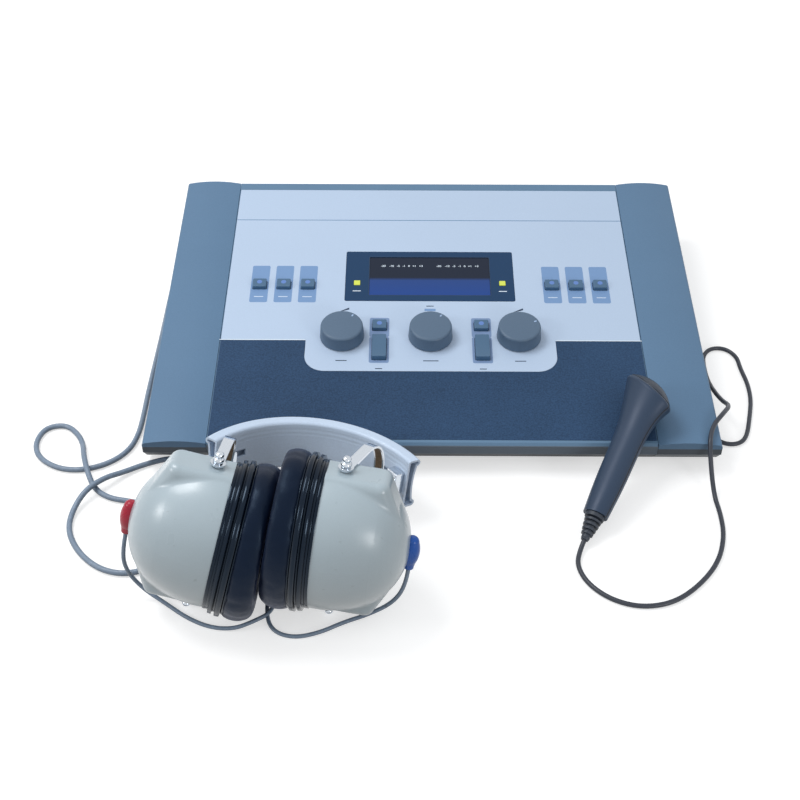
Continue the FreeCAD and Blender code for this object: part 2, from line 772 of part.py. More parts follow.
def pivot_studs():
    """Screws with a washer and two stacked balls, above and below the cup."""
    base = shoulder_height + strap_gap + strap[1] + 0.25
    edges = [
        line((0, 0, shoulder_height - 8.0), (stud_radius, 0, shoulder_height - 8.0)),
        line((stud_radius, 0, shoulder_height - 8.0), (stud_radius, 0, base)),
        line((stud_radius, 0, base), (4.6, 0, base)),
        line((4.6, 0, base), (4.6, 0, base + 0.9)),
        line((4.6, 0, base + 0.9), (2.6, 0, base + 1.2)),
        arc((2.6, 0, base + 1.2), (3.3, 0, base + 2.8), (2.0, 0, base + 4.4)),
        arc((2.0, 0, base + 4.4), (2.6, 0, base + 5.9), (1.3, 0, base + stud_rise)),
        line((1.3, 0, base + stud_rise), (0, 0, base + stud_rise)),
        line((0, 0, base + stud_rise), (0, 0, shoulder_height - 8.0)),
    ]
    upper = Part.Face(section_wire(edges)).revolve(Vector(0, 0, 0), Vector(0, 0, 1), 360)
    return [upper, upper.mirror(Vector(0, 0, 0), Vector(0, 0, 1))]


bushing_length = 22.0
bushing_radius = 5.2
pole_x = flange_x[1] + dome_depth


def lead_bushing():
    """The moulded lead exit on the cup's pole, with two grip rings."""
    top = bushing_length * 0.42 / stretch
    bottom = top - bushing_length / stretch
    x = pole_x + 0.6
    edges = [
        line((x, 0, bottom), (x + 2.9, 0, bottom)),
        line((x + 2.9, 0, bottom), (x + 3.5, 0, bottom + 3.0)),
        arc((x + 3.5, 0, bottom + 3.0), (x + bushing_radius, 0, -2.0), (x + 4.2, 0, top - 3.0)),
        arc((x + 4.2, 0, top - 3.0), (x + 3.0, 0, top - 0.7), (x, 0, top)),
        line((x, 0, top), (x, 0, bottom)),
    ]
    body = Part.Face(section_wire(edges)).revolve(Vector(x, 0, 0), Vector(0, 0, 1), 360)
    return oval(body.cut(dome(0.0)))


def lead_exit(place, side):
    """Where the lead leaves its bushing, and the way it points."""
    bottom = bushing_length * 0.42 - bushing_length
    at = place.multVec(Vector(side * (pole_x + 0.6), 0, bottom))
    return at, place.Rotation.multVec(Vector(0, 0, -1))


# ================================================================ headband and yokes
band_place = Placement(band_point, turn_of(*band_turn))
band_middle = Vector(band_centre[0], band_centre[1], 0)


def band_profile():
    """The band's section in (radius, width): flat inner wall, waisted outer wall, round edges."""
    inner, outer = band_radius - band_thickness, band_radius
    waist = inner + band_waist
    half = band_width / 2
    return Part.Wire([
        line((0, inner, -half + 2.2), (0, inner, half - 2.2)),
        arc((0, inner, half - 2.2), (0, inner + 0.7, half - 0.6), (0, inner + 2.4, half)),
        line((0, inner + 2.4, half), (0, outer - 2.4, half)),
        arc((0, outer - 2.4, half), (0, outer, half - 2.4), (0, outer - 2.0, half - 4.9)),
        arc((0, outer - 2.0, half - 4.9), (0, waist, 0), (0, outer - 2.0, -half + 4.9)),
        arc((0, outer - 2.0, -half + 4.9), (0, outer, -half + 2.4), (0, outer - 2.4, -half)),
        line((0, outer - 2.4, -half), (0, inner + 2.4, -half)),
        arc((0, inner + 2.4, -half), (0, inner + 0.7, -half + 0.6), (0, inner, -half + 2.2)),
    ])


def along_band(face, from_angle, to_angle):
    """Sweep a section of (radius, width) round the band, angles measured to the left."""
    face = face.copy()
    face.rotate(Vector(0, 0, 0), Vector(0, 0, 1), from_angle)
    body = face.revolve(Vector(0, 0, 0), Vector(0, 0, 1), to_angle - from_angle)
    body.translate(band_middle)
    return body


def slider_middle(side):
    """The block's place along the band, in degrees to the left of the crown."""
    return band_left - slider_angle if side < 0 else -(band_right - slider_angle)


def headband():
    section = Part.Face(band_profile())
    hollow = section.makeOffset2D(-band_skin)
    body = along_band(section, -band_right, band_left)
    body = body.cut(along_band(hollow, -band_right - 1, band_left + 1))
    inner = band_radius - band_thickness
    rectangle = Part.makePolygon([Vector(0, inner - 2, -slot_half), Vector(0, inner + 2, -slot_half),
                                  Vector(0, inner + 2, slot_half), Vector(0, inner - 2, slot_half),
                                  Vector(0, inner - 2, -slot_half)])
    for side in (-1, 1):
        near = slider_middle(side) - side * 2.4
        far = slider_middle(side) + side * (slide_range + 2.4)
        low, high = sorted((near, far))
        body = body.cut(along_band(Part.Face(rectangle), low, high))
    return moved(body, band_place)


def slider(side):
    """The chrome block on the band's inner wall, with the neck and shoe that hold it there."""
    inner = band_radius - band_thickness - slider_gap
    deep, along, across = slider_size
    body = block(-along / 2, along / 2, inner - deep, inner, -across / 2, across / 2)
    body = body.makeFillet(0.8, body.Edges)
    neck = Part.makeCylinder(slot_half - 0.4, slider_gap + band_skin + 0.9, Vector(0, inner - 1, 0),
                             Vector(0, 1, 0))
    shoe = Part.makeCylinder(slot_half + 1.2, 0.9, Vector(0, inner + slider_gap + band_skin + 0.3, 0),
                             Vector(0, 1, 0))
    neck2 = Part.makeCylinder(slot_half - 0.4, slider_gap + band_skin + 0.6, Vector(0, inner - 0.2, 0),
                              Vector(0, 1, 0))
    body = body.fuse(neck).fuse(neck2).fuse(shoe)
    body.rotate(Vector(0, 0, 0), Vector(0, 0, 1), slider_middle(side))
    body.translate(band_middle)
    return moved(body, band_place)


def slider_point(side):
    """The middle of the block's inner face."""
    reach = band_radius - band_thickness - slider_gap - slider_size[0] + 2.0
    angle = math.radians(slider_middle(side))
    local = band_middle + Vector(-reach * math.sin(angle), reach * math.cos(angle), 0)
    return band_place.multVec(local)


def yoke(side, place):
    """A U-shaped strap round the cup, its stem and its sliding block, riveted into one."""
    target = slider_point(side)
    local = place.inverse().multVec(target)
    angle = math.degrees(math.atan2(local.x, local.y))
    width, thick = strap
    inside = shoulder_height + strap_gap
    outside = inside + thick
    root = -5.0

    def hoop(reach, half, corner):
        body = block(-width / 2, width / 2, root, reach, -half, half)
        bends = [e for e in body.Edges
                 if abs(e.tangentAt(e.FirstParameter).x) > 0.9 and e.CenterOfMass.y > root + 1]
        return body.makeFillet(corner, bends)
    body = hoop(yoke_reach, outside, yoke_bend)
    opening = hoop(yoke_reach - thick, inside, yoke_bend - thick)
    body = body.cut(opening).cut(block(-width, width, root - 9, root + 0.01, -inside, inside))
    for sign in (1, -1):
        low, high = sorted((sign * (inside - 1), sign * (outside + 1)))
        body = body.cut(disc(stud_radius + strap_bore_gap, low, high))
        tip = block(-width, width, root - 1, 0, low, high)
        body = body.cut(tip.cut(disc(width / 2, low, high)))
    body.rotate(Vector(0, 0, 0), Vector(0, 0, 1), -angle)
    body = moved(body, place)
    heading = Vector(math.sin(math.radians(angle)), math.cos(math.radians(angle)), 0)
    start = place.multVec(heading * (yoke_reach - thick / 2))
    run = target - start
    stem = Part.makeCylinder(2.4, run.Length, start, run)
    way = place.Rotation.multVec(heading)
    boss = Part.makeCylinder(4.2, thick + 3.0, start - way * (thick / 2 + 1.0), way)
    print("yoke %+d angle %.1f stem %.1f" % (side, angle, run.Length))
    return body.fuse(stem).fuse(boss).fuse(slider(side))


def pressed(pad, side):
    """Flatten a cushion where it meets the other one, on the plane midway between the two."""
    faces = [place.multVec(Vector(hand * cushion_face_x, 0, 0))
             for hand, place in ((-1, left_place), (1, right_place))]
    ways = [place.Rotation.multVec(Vector(1, 0, 0)) for place in (left_place, right_place)]
    middle = (faces[0] + faces[1]) * 0.5
    across = (ways[0] + ways[1]).normalize()
    beyond = Part.makeCylinder(90, 60, middle + across * (side * pad_gap / 2), across * -side)
    return pad.cut(beyond)


def cup_piece(shape, side):
    """Put a piece modelled for the right-hand cup in its place."""
    if side < 0:
        shape = shape.mirror(Vector(0, 0, 0), Vector(1, 0, 0))
    return moved(shape, left_place if side < 0 else right_place)


# ================================================================ cords
def tube(name, points, radius):
    """Sweep a round cord along straight runs joined by tangent arcs, each as large as fits."""
    points = [Vector(*p) for p in points]
    edges = []
    last = points[0]
    tightest = 1e9
    length = 0.0
    for before, corner, after in zip(points, points[1:], points[2:]):
        way_in = (corner - before)
        way_out = (after - corner)
        shorter = min(way_in.Length, way_out.Length)
        way_in.normalize()
        way_out.normalize()
        half_turn = way_in.getAngle(way_out) / 2
        reach = 0.45 * shorter
        bend = reach / math.tan(half_turn)
        tightest = min(tightest, bend)
        start = corner - way_in * reach
        end = corner + way_out * reach
        centre = corner + (way_out - way_in).normalize() * (bend / math.cos(half_turn))
        inward = (corner - centre).normalize()
        middle = centre + inward * bend
        edges.append(Part.LineSegment(last, start).toShape())
        edges.append(Part.Arc(start, middle, end).toShape())
        length += (start - last).Length + 2 * half_turn * bend
        last = end
    edges.append(Part.LineSegment(last, points[-1]).toShape())
    length += (points[-1] - last).Length
    path = Part.Wire(edges)
    first = points[1] - points[0]
    ring = Part.Wire(Part.makeCircle(radius, points[0], first))
    body = path.makePipeShell([ring], True, False)
    ideal = math.pi * radius ** 2 * length
    print("cord %-16s length %.0f tightest radius %.1f = %.1f diameters, volume ratio %.4f" % (
        name, length, tightest, tightest / 2 / radius, body.Volume / ideal))
    return body


def coil(centre, radius, turns_wide, turns_high):
    """The outer shape of a neat coil lying on the table."""
    middle = coil_turns_across * radius
    half = turns_wide * radius
    height = 2 * radius * turns_high
    outer = Part.makeCylinder(middle + half, height, Vector(centre[0], centre[1], 0.0))
    inner = Part.makeCylinder(middle - half, height + 2, Vector(centre[0], centre[1], -1.0))
    ring = outer.cut(inner)
    return ring.makeFillet(min(2.5, radius * 1.2), ring.Edges)


def jack_plug(tip, heading, cord, lead_length):
    """A 6.3 mm jack plug lying on the table: shaft, sleeve, tapered tail and a bit of its cord."""
    shaft_radius, shaft_length = 3.15, 31.0
    sleeve_radius, sleeve_length = plug_sleeve
    tail = 9.0
    end = shaft_length + sleeve_length + tail
    edges = [
        line((0, 0, 0), (1.6, 0, 0)),
        line((1.6, 0, 0), (shaft_radius - 0.4, 0, 2.2)),
        line((shaft_radius - 0.4, 0, 2.2), (2.2, 0, 4.2)),
        line((2.2, 0, 4.2), (shaft_radius, 0, 5.6)),
        line((shaft_radius, 0, 5.6), (shaft_radius, 0, shaft_length)),
        line((shaft_radius, 0, shaft_length), (sleeve_radius, 0, shaft_length)),
        line((sleeve_radius, 0, shaft_length), (sleeve_radius, 0, shaft_length + sleeve_length)),
        line((sleeve_radius, 0, shaft_length + sleeve_length), (cord + 0.8, 0, end)),
        line((cord + 0.8, 0, end), (cord, 0, end)),
        line((cord, 0, end), (cord, 0, end + lead_length)),
        line((cord, 0, end + lead_length), (0, 0, end + lead_length)),
        line((0, 0, end + lead_length), (0, 0, 0)),
    ]
    body = Part.Face(section_wire(edges)).revolve(Vector(0, 0, 0), Vector(0, 0, 1), 360)
    turn = Rotation(Vector(0, 0, 1), Vector(*heading))
    return moved(body, Placement(Vector(*tip), turn))


# ================================================================ response switch
handset_forward = Vector(handset_axis)
handset_forward.normalize()
level_up = Vector(0, 0, 1) - handset_forward * handset_forward.z
level_up.normalize()
level_left = level_up.cross(handset_forward)
roll = math.radians(handset_roll)
handset_up = level_up * math.cos(roll) + level_left * math.sin(roll)
handset_left = handset_up.cross(handset_forward)


def axes_place(at, x, y, z):
    return Placement(Matrix(x.x, y.x, z.x, at.x, x.y, y.y, z.y, at.y, x.z, y.z, z.z, at.z,
                            0, 0, 0, 1))


handset_place = axes_place(handset_tail, handset_forward, handset_left, handset_up)
rim_s, rim_half, rim_tall, rim_slant = handset_sections[-1]
slant = math.radians(rim_slant)
rim_normal = Vector(math.cos(slant), -math.sin(slant), 0)
rim_across = Vector(math.sin(slant), math.cos(slant), 0)
rim_frame = axes_place(Vector(rim_s, 0, 0), rim_normal, rim_across, Vector(0, 0, 1))


def section_ring(at, half, tall, slant_degrees):
    turn = math.radians(slant_degrees)
    points = []
    count = 24
    for k in range(count):
        angle = 2 * math.pi * k / count
        across = half * math.cos(angle)
        points.append(Vector(at + across * math.sin(turn), across * math.cos(turn),
                             tall * math.sin(angle)))
    curve = Part.BSplineCurve()
    curve.interpolate(Points=points, PeriodicFlag=True)
    return Part.Wire(curve.toShape())


def handle(inset, sections):
    rings = [section_ring(at, half - inset, tall - inset, tilt)
             for at, half, tall, tilt in sections]
    return Part.makeLoft(rings, True, False)


def rim_disc(half, tall, low, high):
    """An oval slab in the rim's frame, from low to high along the rim's normal."""
    body = Part.makeCylinder(half, high - low, Vector(low, 0, 0), Vector(1, 0, 0))
    matrix = Matrix()
    matrix.scale(1.0, 1.0, tall / half)
    return moved(body.transformGeometry(matrix), rim_frame)


def shell_half(top):
    outer = handle(0.0, handset_sections)
    outer = outer.makeFillet(rim_round, [e for e in outer.Edges
                                         if e.BoundBox.XMin > rim_s - 20 and e.Length > rim_half])
    first = (3.0,) + handset_sections[0][1:]
    last = (rim_s - 3.8, rim_half - 1.9, rim_tall - 1.3, rim_slant - 3.5)
    inner = handle(handset_wall, (first,) + handset_sections[1:-1] + (last,))
    mouth = rim_disc(rim_half - mouth_ring, rim_tall - mouth_ring, -bulkhead_depth[0] - 0.4, 5.0)
    body = outer.cut(inner).cut(mouth)
    bulkhead = rim_disc(rim_half - 1.0, rim_tall - 1.0, -bulkhead_depth[1], -bulkhead_depth[0])
    body = body.fuse(bulkhead.common(outer))
    stem = Part.makeCylinder(button_stem + button_gap, 20, Vector(-20, 0, 0), Vector(1, 0, 0))
    body = body.cut(moved(stem, rim_frame))
    for at in (22.0, 58.0):
        boss = Part.makeCylinder(3.0, 40, Vector(at, 0, -20))
        body = body.fuse(boss.common(outer))
    cradle = moved(block(-20.0, -12.5, -7.0, 7.0, -20, -4.0), rim_frame).common(outer)
    if not top:
        body = body.fuse(cradle)
    body = body.cut(Part.makeCylinder(relief_end_radius + 1.6, 9, Vector(-2, 0, 0),
                                      Vector(1, 0, 0)))
    keep = block(-20, 140, -60, 60, 0, 60) if top else block(-20, 140, -60, 60, -60, 0)
    return moved(body.common(keep), handset_place)


def response_button():
    """The domed thumb button in the head's mouth, with its stem and retaining ring."""
    half = rim_half - mouth_ring - button_gap
    tall = rim_tall - mouth_ring - button_gap
    edges = [
        line((-button_skirt, 0, 0), (-button_skirt, half, 0)),
        line((-button_skirt, half, 0), (0.8, half, 0)),
        arc((0.8, half, 0), (button_dome * 0.62, half * 0.68, 0), (button_dome, 0, 0)),
        line((button_dome, 0, 0), (-button_skirt, 0, 0)),
    ]
    body = Part.Face(section_wire(edges)).revolve(Vector(0, 0, 0), Vector(1, 0, 0), 360)
    matrix = Matrix()
    matrix.scale(1.0, 1.0, tall / half)
    body = body.transformGeometry(matrix)
    stem = Part.makeCylinder(button_stem, 7.0 - button_skirt, Vector(-7.0, 0, 0),
                             Vector(1, 0, 0))
    ring = Part.makeCylinder(button_stem + 1.6, 1.6, Vector(-7.0, 0, 0), Vector(1, 0, 0))
    body = body.fuse(stem).fuse(ring)
    return moved(moved(body, rim_frame), handset_place)


def handset_switch():
    case = block(-17.5, -11.6, -6.5, 3.5, -4.0, 4.5)
    plunger = Part.makeCylinder(2.0, 3.3, Vector(-11.6, 0, 0), Vector(1, 0, 0))
    return moved(moved(case.fuse(plunger), rim_frame), handset_place)


def strain_relief():
    """A ribbed, tapering sleeve with a collar held inside the handle's tail."""
    end = -relief_length
    neck = relief_end_radius + 1.5
    profile = [(6.0, 0.0), (6.0, neck + 1.0), (3.2, neck + 1.0), (3.2, neck), (-0.2, neck),
               (-0.2, 6.6), (-2.6, 6.4)]
    ribs = ((-4.0, 5.8), (-7.2, 5.3), (-10.4, 4.7), (-13.4, 4.1))
    for at, radius in ribs:
        core = relief_end_radius + 1.4 * (1 + at / relief_length)
        profile += [(at + 1.0, core), (at + 0.2, core), (at, radius), (at - 1.4, radius - 0.2),
                    (at - 1.6, core)]
    profile += [(end + 1.6, 2.9), (end, relief_end_radius), (end, 0.0)]
    edges = [line((a[0], a[1], 0), (b[0], b[1], 0))
             for a, b in zip(profile, profile[1:] + profile[:1])]
    body = Part.Face(section_wire(edges)).revolve(Vector(0, 0, 0), Vector(1, 0, 0), 360)
    return moved(body, handset_place)


# ================================================================ cord routes
def lying(points, radius):
    """Routes name only x and y where a cord lies on the table."""
    return [p if len(p) == 3 else (p[0], p[1], radius) for p in points]


def lead_route(place, side, run, rest):
    at, way = lead_exit(place, side)
    return [tuple(at), tuple(at + way * run)] + rest


junction_x = -100.0
junction_y = (-180.0, -165.0)
junction_size = (10.0, 5.0)
junction_hole_x = 2.3
junction_hole_z = 2.6
tuck = 1.0                           # how far a cord's end is moulded in

left_lead_route = lead_route(left_place, -1, 16.0, [
    (-187.5, -172.5, 21.0), (-179.0, -174.0, 6.5), (-165.0, -181.0, lead_radius),
    (-151.0, -192.0, lead_radius), (-136.0, -199.5, lead_radius), (-121.0, -201.5, 2.4),
    (-109.0, -198.0, 5.4), (-98.0, -190.5, 5.4),
    (junction_x + junction_hole_x, junction_y[0] + tuck, junction_hole_z)])
right_lead_route = lead_route(right_place, 1, 13.0, [
    (-25.0, -188.5, 12.0), (-40.0, -190.5, 3.2), (-55.0, -195.0, lead_radius),
    (-69.0, -203.0, lead_radius), (-84.0, -207.0, lead_radius), (-96.5, -203.0, lead_radius),
    (-102.4, -191.5, 1.4),
    (junction_x - junction_hole_x, junction_y[0] + tuck, junction_hole_z)])
headset_coil_at = (-158.0, 247.0)
headset_cable_route = lying([
    (junction_x, junction_y[1] - tuck, junction_hole_z), (-100.0, -149.0), (-101.5, -129.0),
    (-107.5, -108.0), (-119.0, -87.0), (-136.0, -69.0), (-156.0, -57.0), (-177.0, -53.5),
    (-196.0, -60.5), (-209.0, -69.5, 3.0), (-219.5, -79.0, 7.4), (-230.5, -91.0, 7.4),
    (-237.0, -106.0, 2.4), (-236.5, -121.0), (-230.0, -135.0), (-220.0, -147.0),
    (-208.0, -155.5), (-194.0, -158.5), (-180.0, -154.5), (-169.5, -143.0), (-167.0, -127.0),
    (-173.0, -111.0), (-185.0, -99.5), (-200.0, -95.5), (-214.5, -93.0), (-226.0, -84.5),
    (-232.0, -73.5, 7.4), (-237.5, -57.0, 7.4), (-241.0, -43.0, 2.4), (-246.5, -31.5),
    (-257.0, -21.5), (-270.8, -24.5), (-275.0, -38.0), (-272.0, -51.0), (-262.0, -61.0),
    (-249.0, -66.5), (-234.0, -66.0), (-219.0, -59.0), (-208.5, -47.0), (-204.5, -31.0),
    (-204.0, -12.0), (-204.4, 12.0), (-204.0, 45.0), (-203.6, 85.0), (-203.9, 125.0),
    (-203.5, 165.0), (-203.0, 199.0), (-196.0, 223.0),
    (headset_coil_at[0] - 24.0, headset_coil_at[1] - 8.0, 4.0)], cable_radius)
handset_coil_at = (166.0, 243.0)
relief_end = handset_place.multVec(Vector(-relief_length, 0, 0))
relief_next = handset_place.multVec(Vector(-relief_length - 8.0, 0, 0))
handset_cord_route = lying([
    tuple(relief_end), tuple(relief_next), (90.8, -150.0), (96.5, -165.0), (110.0, -177.5),
    (128.0, -183.0), (148.0, -179.0), (166.0, -165.0), (181.0, -146.0), (188.5, -124.0),
    (189.5, -104.0), (188.0, -86.0), (184.5, -66.5, 27.8), (189.0, -50.0, 29.6),
    (199.0, -37.5, 31.0), (206.5, -24.0, 25.0), (205.5, -8.0, 15.0), (203.5, 12.0, 8.0),
    (203.4, 30.0, 2.2), (203.8, 47.0), (205.3, 58.0), (212.5, 66.5), (223.5, 66.0),
    (230.3, 56.5), (230.3, 43.0), (232.5, 26.0), (231.5, 8.0), (227.0, -10.0), (221.0, -31.0),
    (213.9, -38.1), (204.2, -38.1), (197.4, -31.2), (197.2, -14.0), (197.4, 18.0),
    (197.5, 52.0), (197.2, 96.0), (197.5, 140.0), (197.2, 178.0), (196.4, 206.0),
    (193.0, 226.0), (handset_coil_at[0] + 20.6, handset_coil_at[1] - 5.0, 3.2)], cord_radius)


def lead_junction():
    width, height = junction_size
    body = block(junction_x - width / 2, junction_x + width / 2, junction_y[0], junction_y[1],
                 0.1, height)
    body = body.makeFillet(1.2, body.Edges)
    for side in (-1, 1):
        at = Vector(junction_x + side * junction_hole_x, junction_y[0] - 1, junction_hole_z)
        body = body.cut(Part.makeCylinder(lead_radius + 0.5, tuck + 1.3, at, Vector(0, 1, 0)))
    at = Vector(junction_x, junction_y[1] - tuck - 0.3, junction_hole_z)
    return body.cut(Part.makeCylinder(cable_radius + 0.3, 9, at, Vector(0, 1, 0)))


# ================================================================ write every piece
save("base_tray", base_tray())
save("top_cover", top_cover())
save("left_end_cap", end_cap(-1))
save("right_end_cap", end_cap(1))
save("control_overlay", control_overlay())
save("front_overlay", front_overlay())
save("display_window", display_window())
save("display_module", display_module())
save("indicator_lenses", *indicator_lenses())
save("circuit_board", circuit_board())
save("key_switches", *key_switches())
save("encoders", *encoders())
save("rear_panel", rear_panel())
save("jack_sockets", *jack_sockets())
save("power_entry_module", power_entry_module())
save("power_rocker", power_rocker())
save("rubber_feet", *rubber_feet())
save("case_screws", *case_screws())
panel_normal = panel_place.Rotation.multVec(Vector(0, 0, 1))
for name, u in zip(("left_level_knob", "frequency_knob", "right_level_knob"), knob_u):
    save(name, knob(u))
    show_axis(name, panel_place.multVec(Vector(u, knob_v, 0)), panel_normal)
for name, size, u, v in key_places():
    save(name, push_key(size, u, v))
show_axis("keys press", Vector(0, 0, 0), panel_normal * -1)
show_axis("power_rocker", rocker_pivot, Vector(1, 0, 0))

save("headband", headband())
for side, hand, place in ((-1, "left", left_place), (1, "right", right_place)):
    save(hand + "_yoke", yoke(side, place))
    save(hand + "_pivot_studs", *[moved(stud, place) for stud in pivot_studs()])
    save(hand + "_cup", cup_piece(cup(), side))
    save(hand + "_cup_flange", cup_piece(flange(), side))
    save(hand + "_ear_cushion", pressed(cup_piece(cushion(), side), side))
    save(hand + "_earphone", cup_piece(earphone(), side))
    save(hand + "_lead_bushing", cup_piece(lead_bushing(), side))
    show_axis(hand + " cup swivel", place.Base, place.Rotation.multVec(Vector(0, 0, 1)))
    cup_middle = place.multVec(Vector(side * -20.0, 0, 0))
    show_axis(hand + " cup middle", cup_middle, place.Rotation.multVec(Vector(side * -1.0, 0, 0)))
show_axis("band arc", band_place.multVec(band_middle), band_place.Rotation.multVec(Vector(0, 0, 1)))
show_axis("band crest", band_place.multVec(band_middle + Vector(0, band_radius, 0)),
          band_place.Rotation.multVec(Vector(0, 1, 0)))

save("handset_upper_shell", shell_half(True))
save("handset_lower_shell", shell_half(False))
save("response_button", response_button())
save("handset_switch", handset_switch())
save("handset_strain_relief", strain_relief())
button_out = handset_place.Rotation.multVec(rim_normal)
show_axis("response_button", handset_place.multVec(Vector(rim_s, 0, 0)), button_out * -1)
show_axis("handset grip", handset_place.multVec(Vector(40, 0, 0)), handset_up)

save("left_lead", tube("left_lead", left_lead_route, lead_radius))
save("right_lead", tube("right_lead", right_lead_route, lead_radius))
save("lead_junction", lead_junction())
save("headset_cable", tube("headset_cable", headset_cable_route, cable_radius))
save("headset_coil", coil(headset_coil_at, cable_radius, 3, 3))
save("headset_plugs", *[jack_plug((x, headset_coil_at[1] + past, plug_sleeve[0]), (-1, 0, 0),
                                  tail_radius, tail) for x, past, tail in headset_plug_at])
save("handset_cord", tube("handset_cord", handset_cord_route, cord_radius))
save("handset_coil", coil(handset_coil_at, cord_radius, 3, 3))
save("handset_plug", jack_plug((handset_plug_at[0], handset_coil_at[1] + handset_plug_at[1],
                                plug_sleeve[0]), (1, 0, 0), cord_radius, handset_plug_at[2]))
print("cord radii: leads %.1f, headset cable %.1f, handset cord %.1f" % (
    lead_radius, cable_radius, cord_radius))
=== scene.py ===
"""Looks of the desktop audiometer: camera, light, cords, finishes, printed panel and soft pads."""

import math

import bmesh
import bpy
from mathutils import Matrix, Vector, noise


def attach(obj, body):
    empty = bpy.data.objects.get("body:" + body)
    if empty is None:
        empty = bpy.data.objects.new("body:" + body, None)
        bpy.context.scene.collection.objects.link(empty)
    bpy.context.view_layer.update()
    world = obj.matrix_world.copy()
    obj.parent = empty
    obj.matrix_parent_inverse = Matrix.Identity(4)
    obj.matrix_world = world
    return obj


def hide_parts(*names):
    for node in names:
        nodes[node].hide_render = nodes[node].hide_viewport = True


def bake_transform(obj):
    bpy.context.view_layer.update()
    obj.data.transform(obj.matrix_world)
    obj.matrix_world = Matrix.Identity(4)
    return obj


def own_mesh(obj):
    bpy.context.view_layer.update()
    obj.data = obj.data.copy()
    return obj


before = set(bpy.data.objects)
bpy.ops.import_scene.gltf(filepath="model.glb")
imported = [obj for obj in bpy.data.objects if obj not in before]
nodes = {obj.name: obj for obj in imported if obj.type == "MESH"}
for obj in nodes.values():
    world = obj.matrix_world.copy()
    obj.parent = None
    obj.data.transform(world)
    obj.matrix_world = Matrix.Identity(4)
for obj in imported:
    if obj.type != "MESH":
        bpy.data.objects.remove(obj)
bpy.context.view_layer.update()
scene = bpy.context.scene
scene.view_settings.view_transform = "Standard"


# ---------------------------------------------------------------- places
def at(x, y, z):
    """A point in millimetres, in metres."""
    return Vector((x, y, z)) / 1000


def turned(back, right, yaw):
    """A turn in degrees: leaned back, then to the right, then swung about the upright."""
    return (Matrix.Rotation(math.radians(yaw), 4, "Z") @ Matrix.Rotation(math.radians(right), 4, "Y")
            @ Matrix.Rotation(math.radians(-back), 4, "X"))


def handset_axes(tail, along, roll):
    """The response switch's own directions: along it, across its split line, and up."""
    along = along.normalized()
    level = (Vector((0, 0, 1)) - along * along.z).normalized()
    up = level * math.cos(roll) + level.cross(along) * math.sin(roll)
    return Matrix.Translation(tail) @ Matrix((along, up.cross(along), up)).transposed().to_4x4()


panel_slope, handset_roll = math.radians(6.0), math.radians(20)
panel = Matrix.Translation(at(0, -63, 24)) @ Matrix.Rotation(panel_slope, 4, "X")
left_cup_place = Matrix.Translation(at(-138.3, -169.4, 54.2)) @ turned(15.4, 13.6, -5.4)
right_cup_place = Matrix.Translation(at(-57.8, -174.2, 54.6)) @ turned(14.7, 5.1, -7.8)
band_place = Matrix.Translation(at(-97.85, -171.5, 53.5)) @ turned(12.0, 6.0, -8.0)
handset_place = handset_axes(at(105.0, -115.4, 11.6), Vector((0.428, 0.830, 0.357)), handset_roll)
sides = {"left": -1, "right": 1}


# ---------------------------------------------------------------- shader nodes
def feed(tree, socket, value):
    """Link an output to a socket, or set the socket to a value."""
    if isinstance(value, bpy.types.NodeSocket):
        tree.links.new(value, socket)
    else:
        socket.default_value = value


def add_node(tree, kind, *in_order, operation=None, **by_name):
    """A shader node, with its inputs as values or links, in order or by name."""
    made = tree.nodes.new("ShaderNode" + kind)
    if operation:
        made.operation = operation
    for socket, value in zip(made.inputs, in_order):
        feed(tree, socket, value)
    for name, value in by_name.items():
        feed(tree, made.inputs[name.replace("_", " ")], value)
    return made


def seen_rays(tree):
    """1 for rays from the camera, or seen in gloss or through glass."""
    path = add_node(tree, "LightPath").outputs
    plain = add_node(tree, "Math", path["Is Camera Ray"], path["Is Glossy Ray"], operation="MAXIMUM")
    return add_node(tree, "Math", plain.outputs[0], path["Is Transmission Ray"],
                    operation="MAXIMUM").outputs[0]


# ---------------------------------------------------------------- camera and light
camera_place = at(-18.909, -691.27, 628.343)
camera_pitch, camera_yaw, camera_roll = (math.radians(a) for a in (41.933, -0.2395, 0.071))
camera_sensor, camera_lens = 36.0, 58.5                  # millimetres
lamps = {                        # place and what it points at, in metres, then size and watts
    "overhead": ((-0.60, 0.16, 1.25), (-0.02, -0.02, 0.0), 0.6, 7.4),
    "left_fill": ((-1.2, -0.45, 0.75), (-0.05, -0.1, 0.03), 0.36, 3.2),
    "right_fill": ((0.75, -1.0, 0.45), (-0.04, -0.16, 0.05), 0.34, 2.5),
}
sky_colour = (0.96, 0.98, 1.0, 1)
sky_heights, sky_strengths = (-0.1, 0.9), (0.10, 0.80)
floor_reach, floor_drop = 4.0, 0.0002                    # metres
floor_seen, floor_glow, floor_bounce = (0.62, 0.62, 0.62, 1), 0.55, (0.22, 0.17, 0.125, 1)


def set_camera():
    ahead = Vector((math.sin(camera_yaw) * math.cos(camera_pitch),
                    math.cos(camera_yaw) * math.cos(camera_pitch), -math.sin(camera_pitch)))
    data = bpy.data.cameras.new("camera")
    data.sensor_width, data.lens = camera_sensor, camera_lens
    data.clip_start, data.clip_end = 0.02, 20.0
    camera = bpy.data.objects.new("camera", data)
    scene.collection.objects.link(camera)
    camera.rotation_mode = "QUATERNION"
    turn = ahead.to_track_quat("-Z", "Y").to_matrix() @ Matrix.Rotation(camera_roll, 3, "Z")
    camera.rotation_quaternion = turn.to_quaternion()
    camera.location = camera_place
    scene.camera = camera


def lamp(name, place, target, size, power):
    data = bpy.data.lights.new(name, "AREA")
    data.shape, data.size, data.energy = "DISK", size, power
    obj = bpy.data.objects.new(name, data)
    obj.location = place
    obj.rotation_euler = (Vector(target) - Vector(place)).to_track_quat("-Z", "Y").to_euler()
    scene.collection.objects.link(obj)


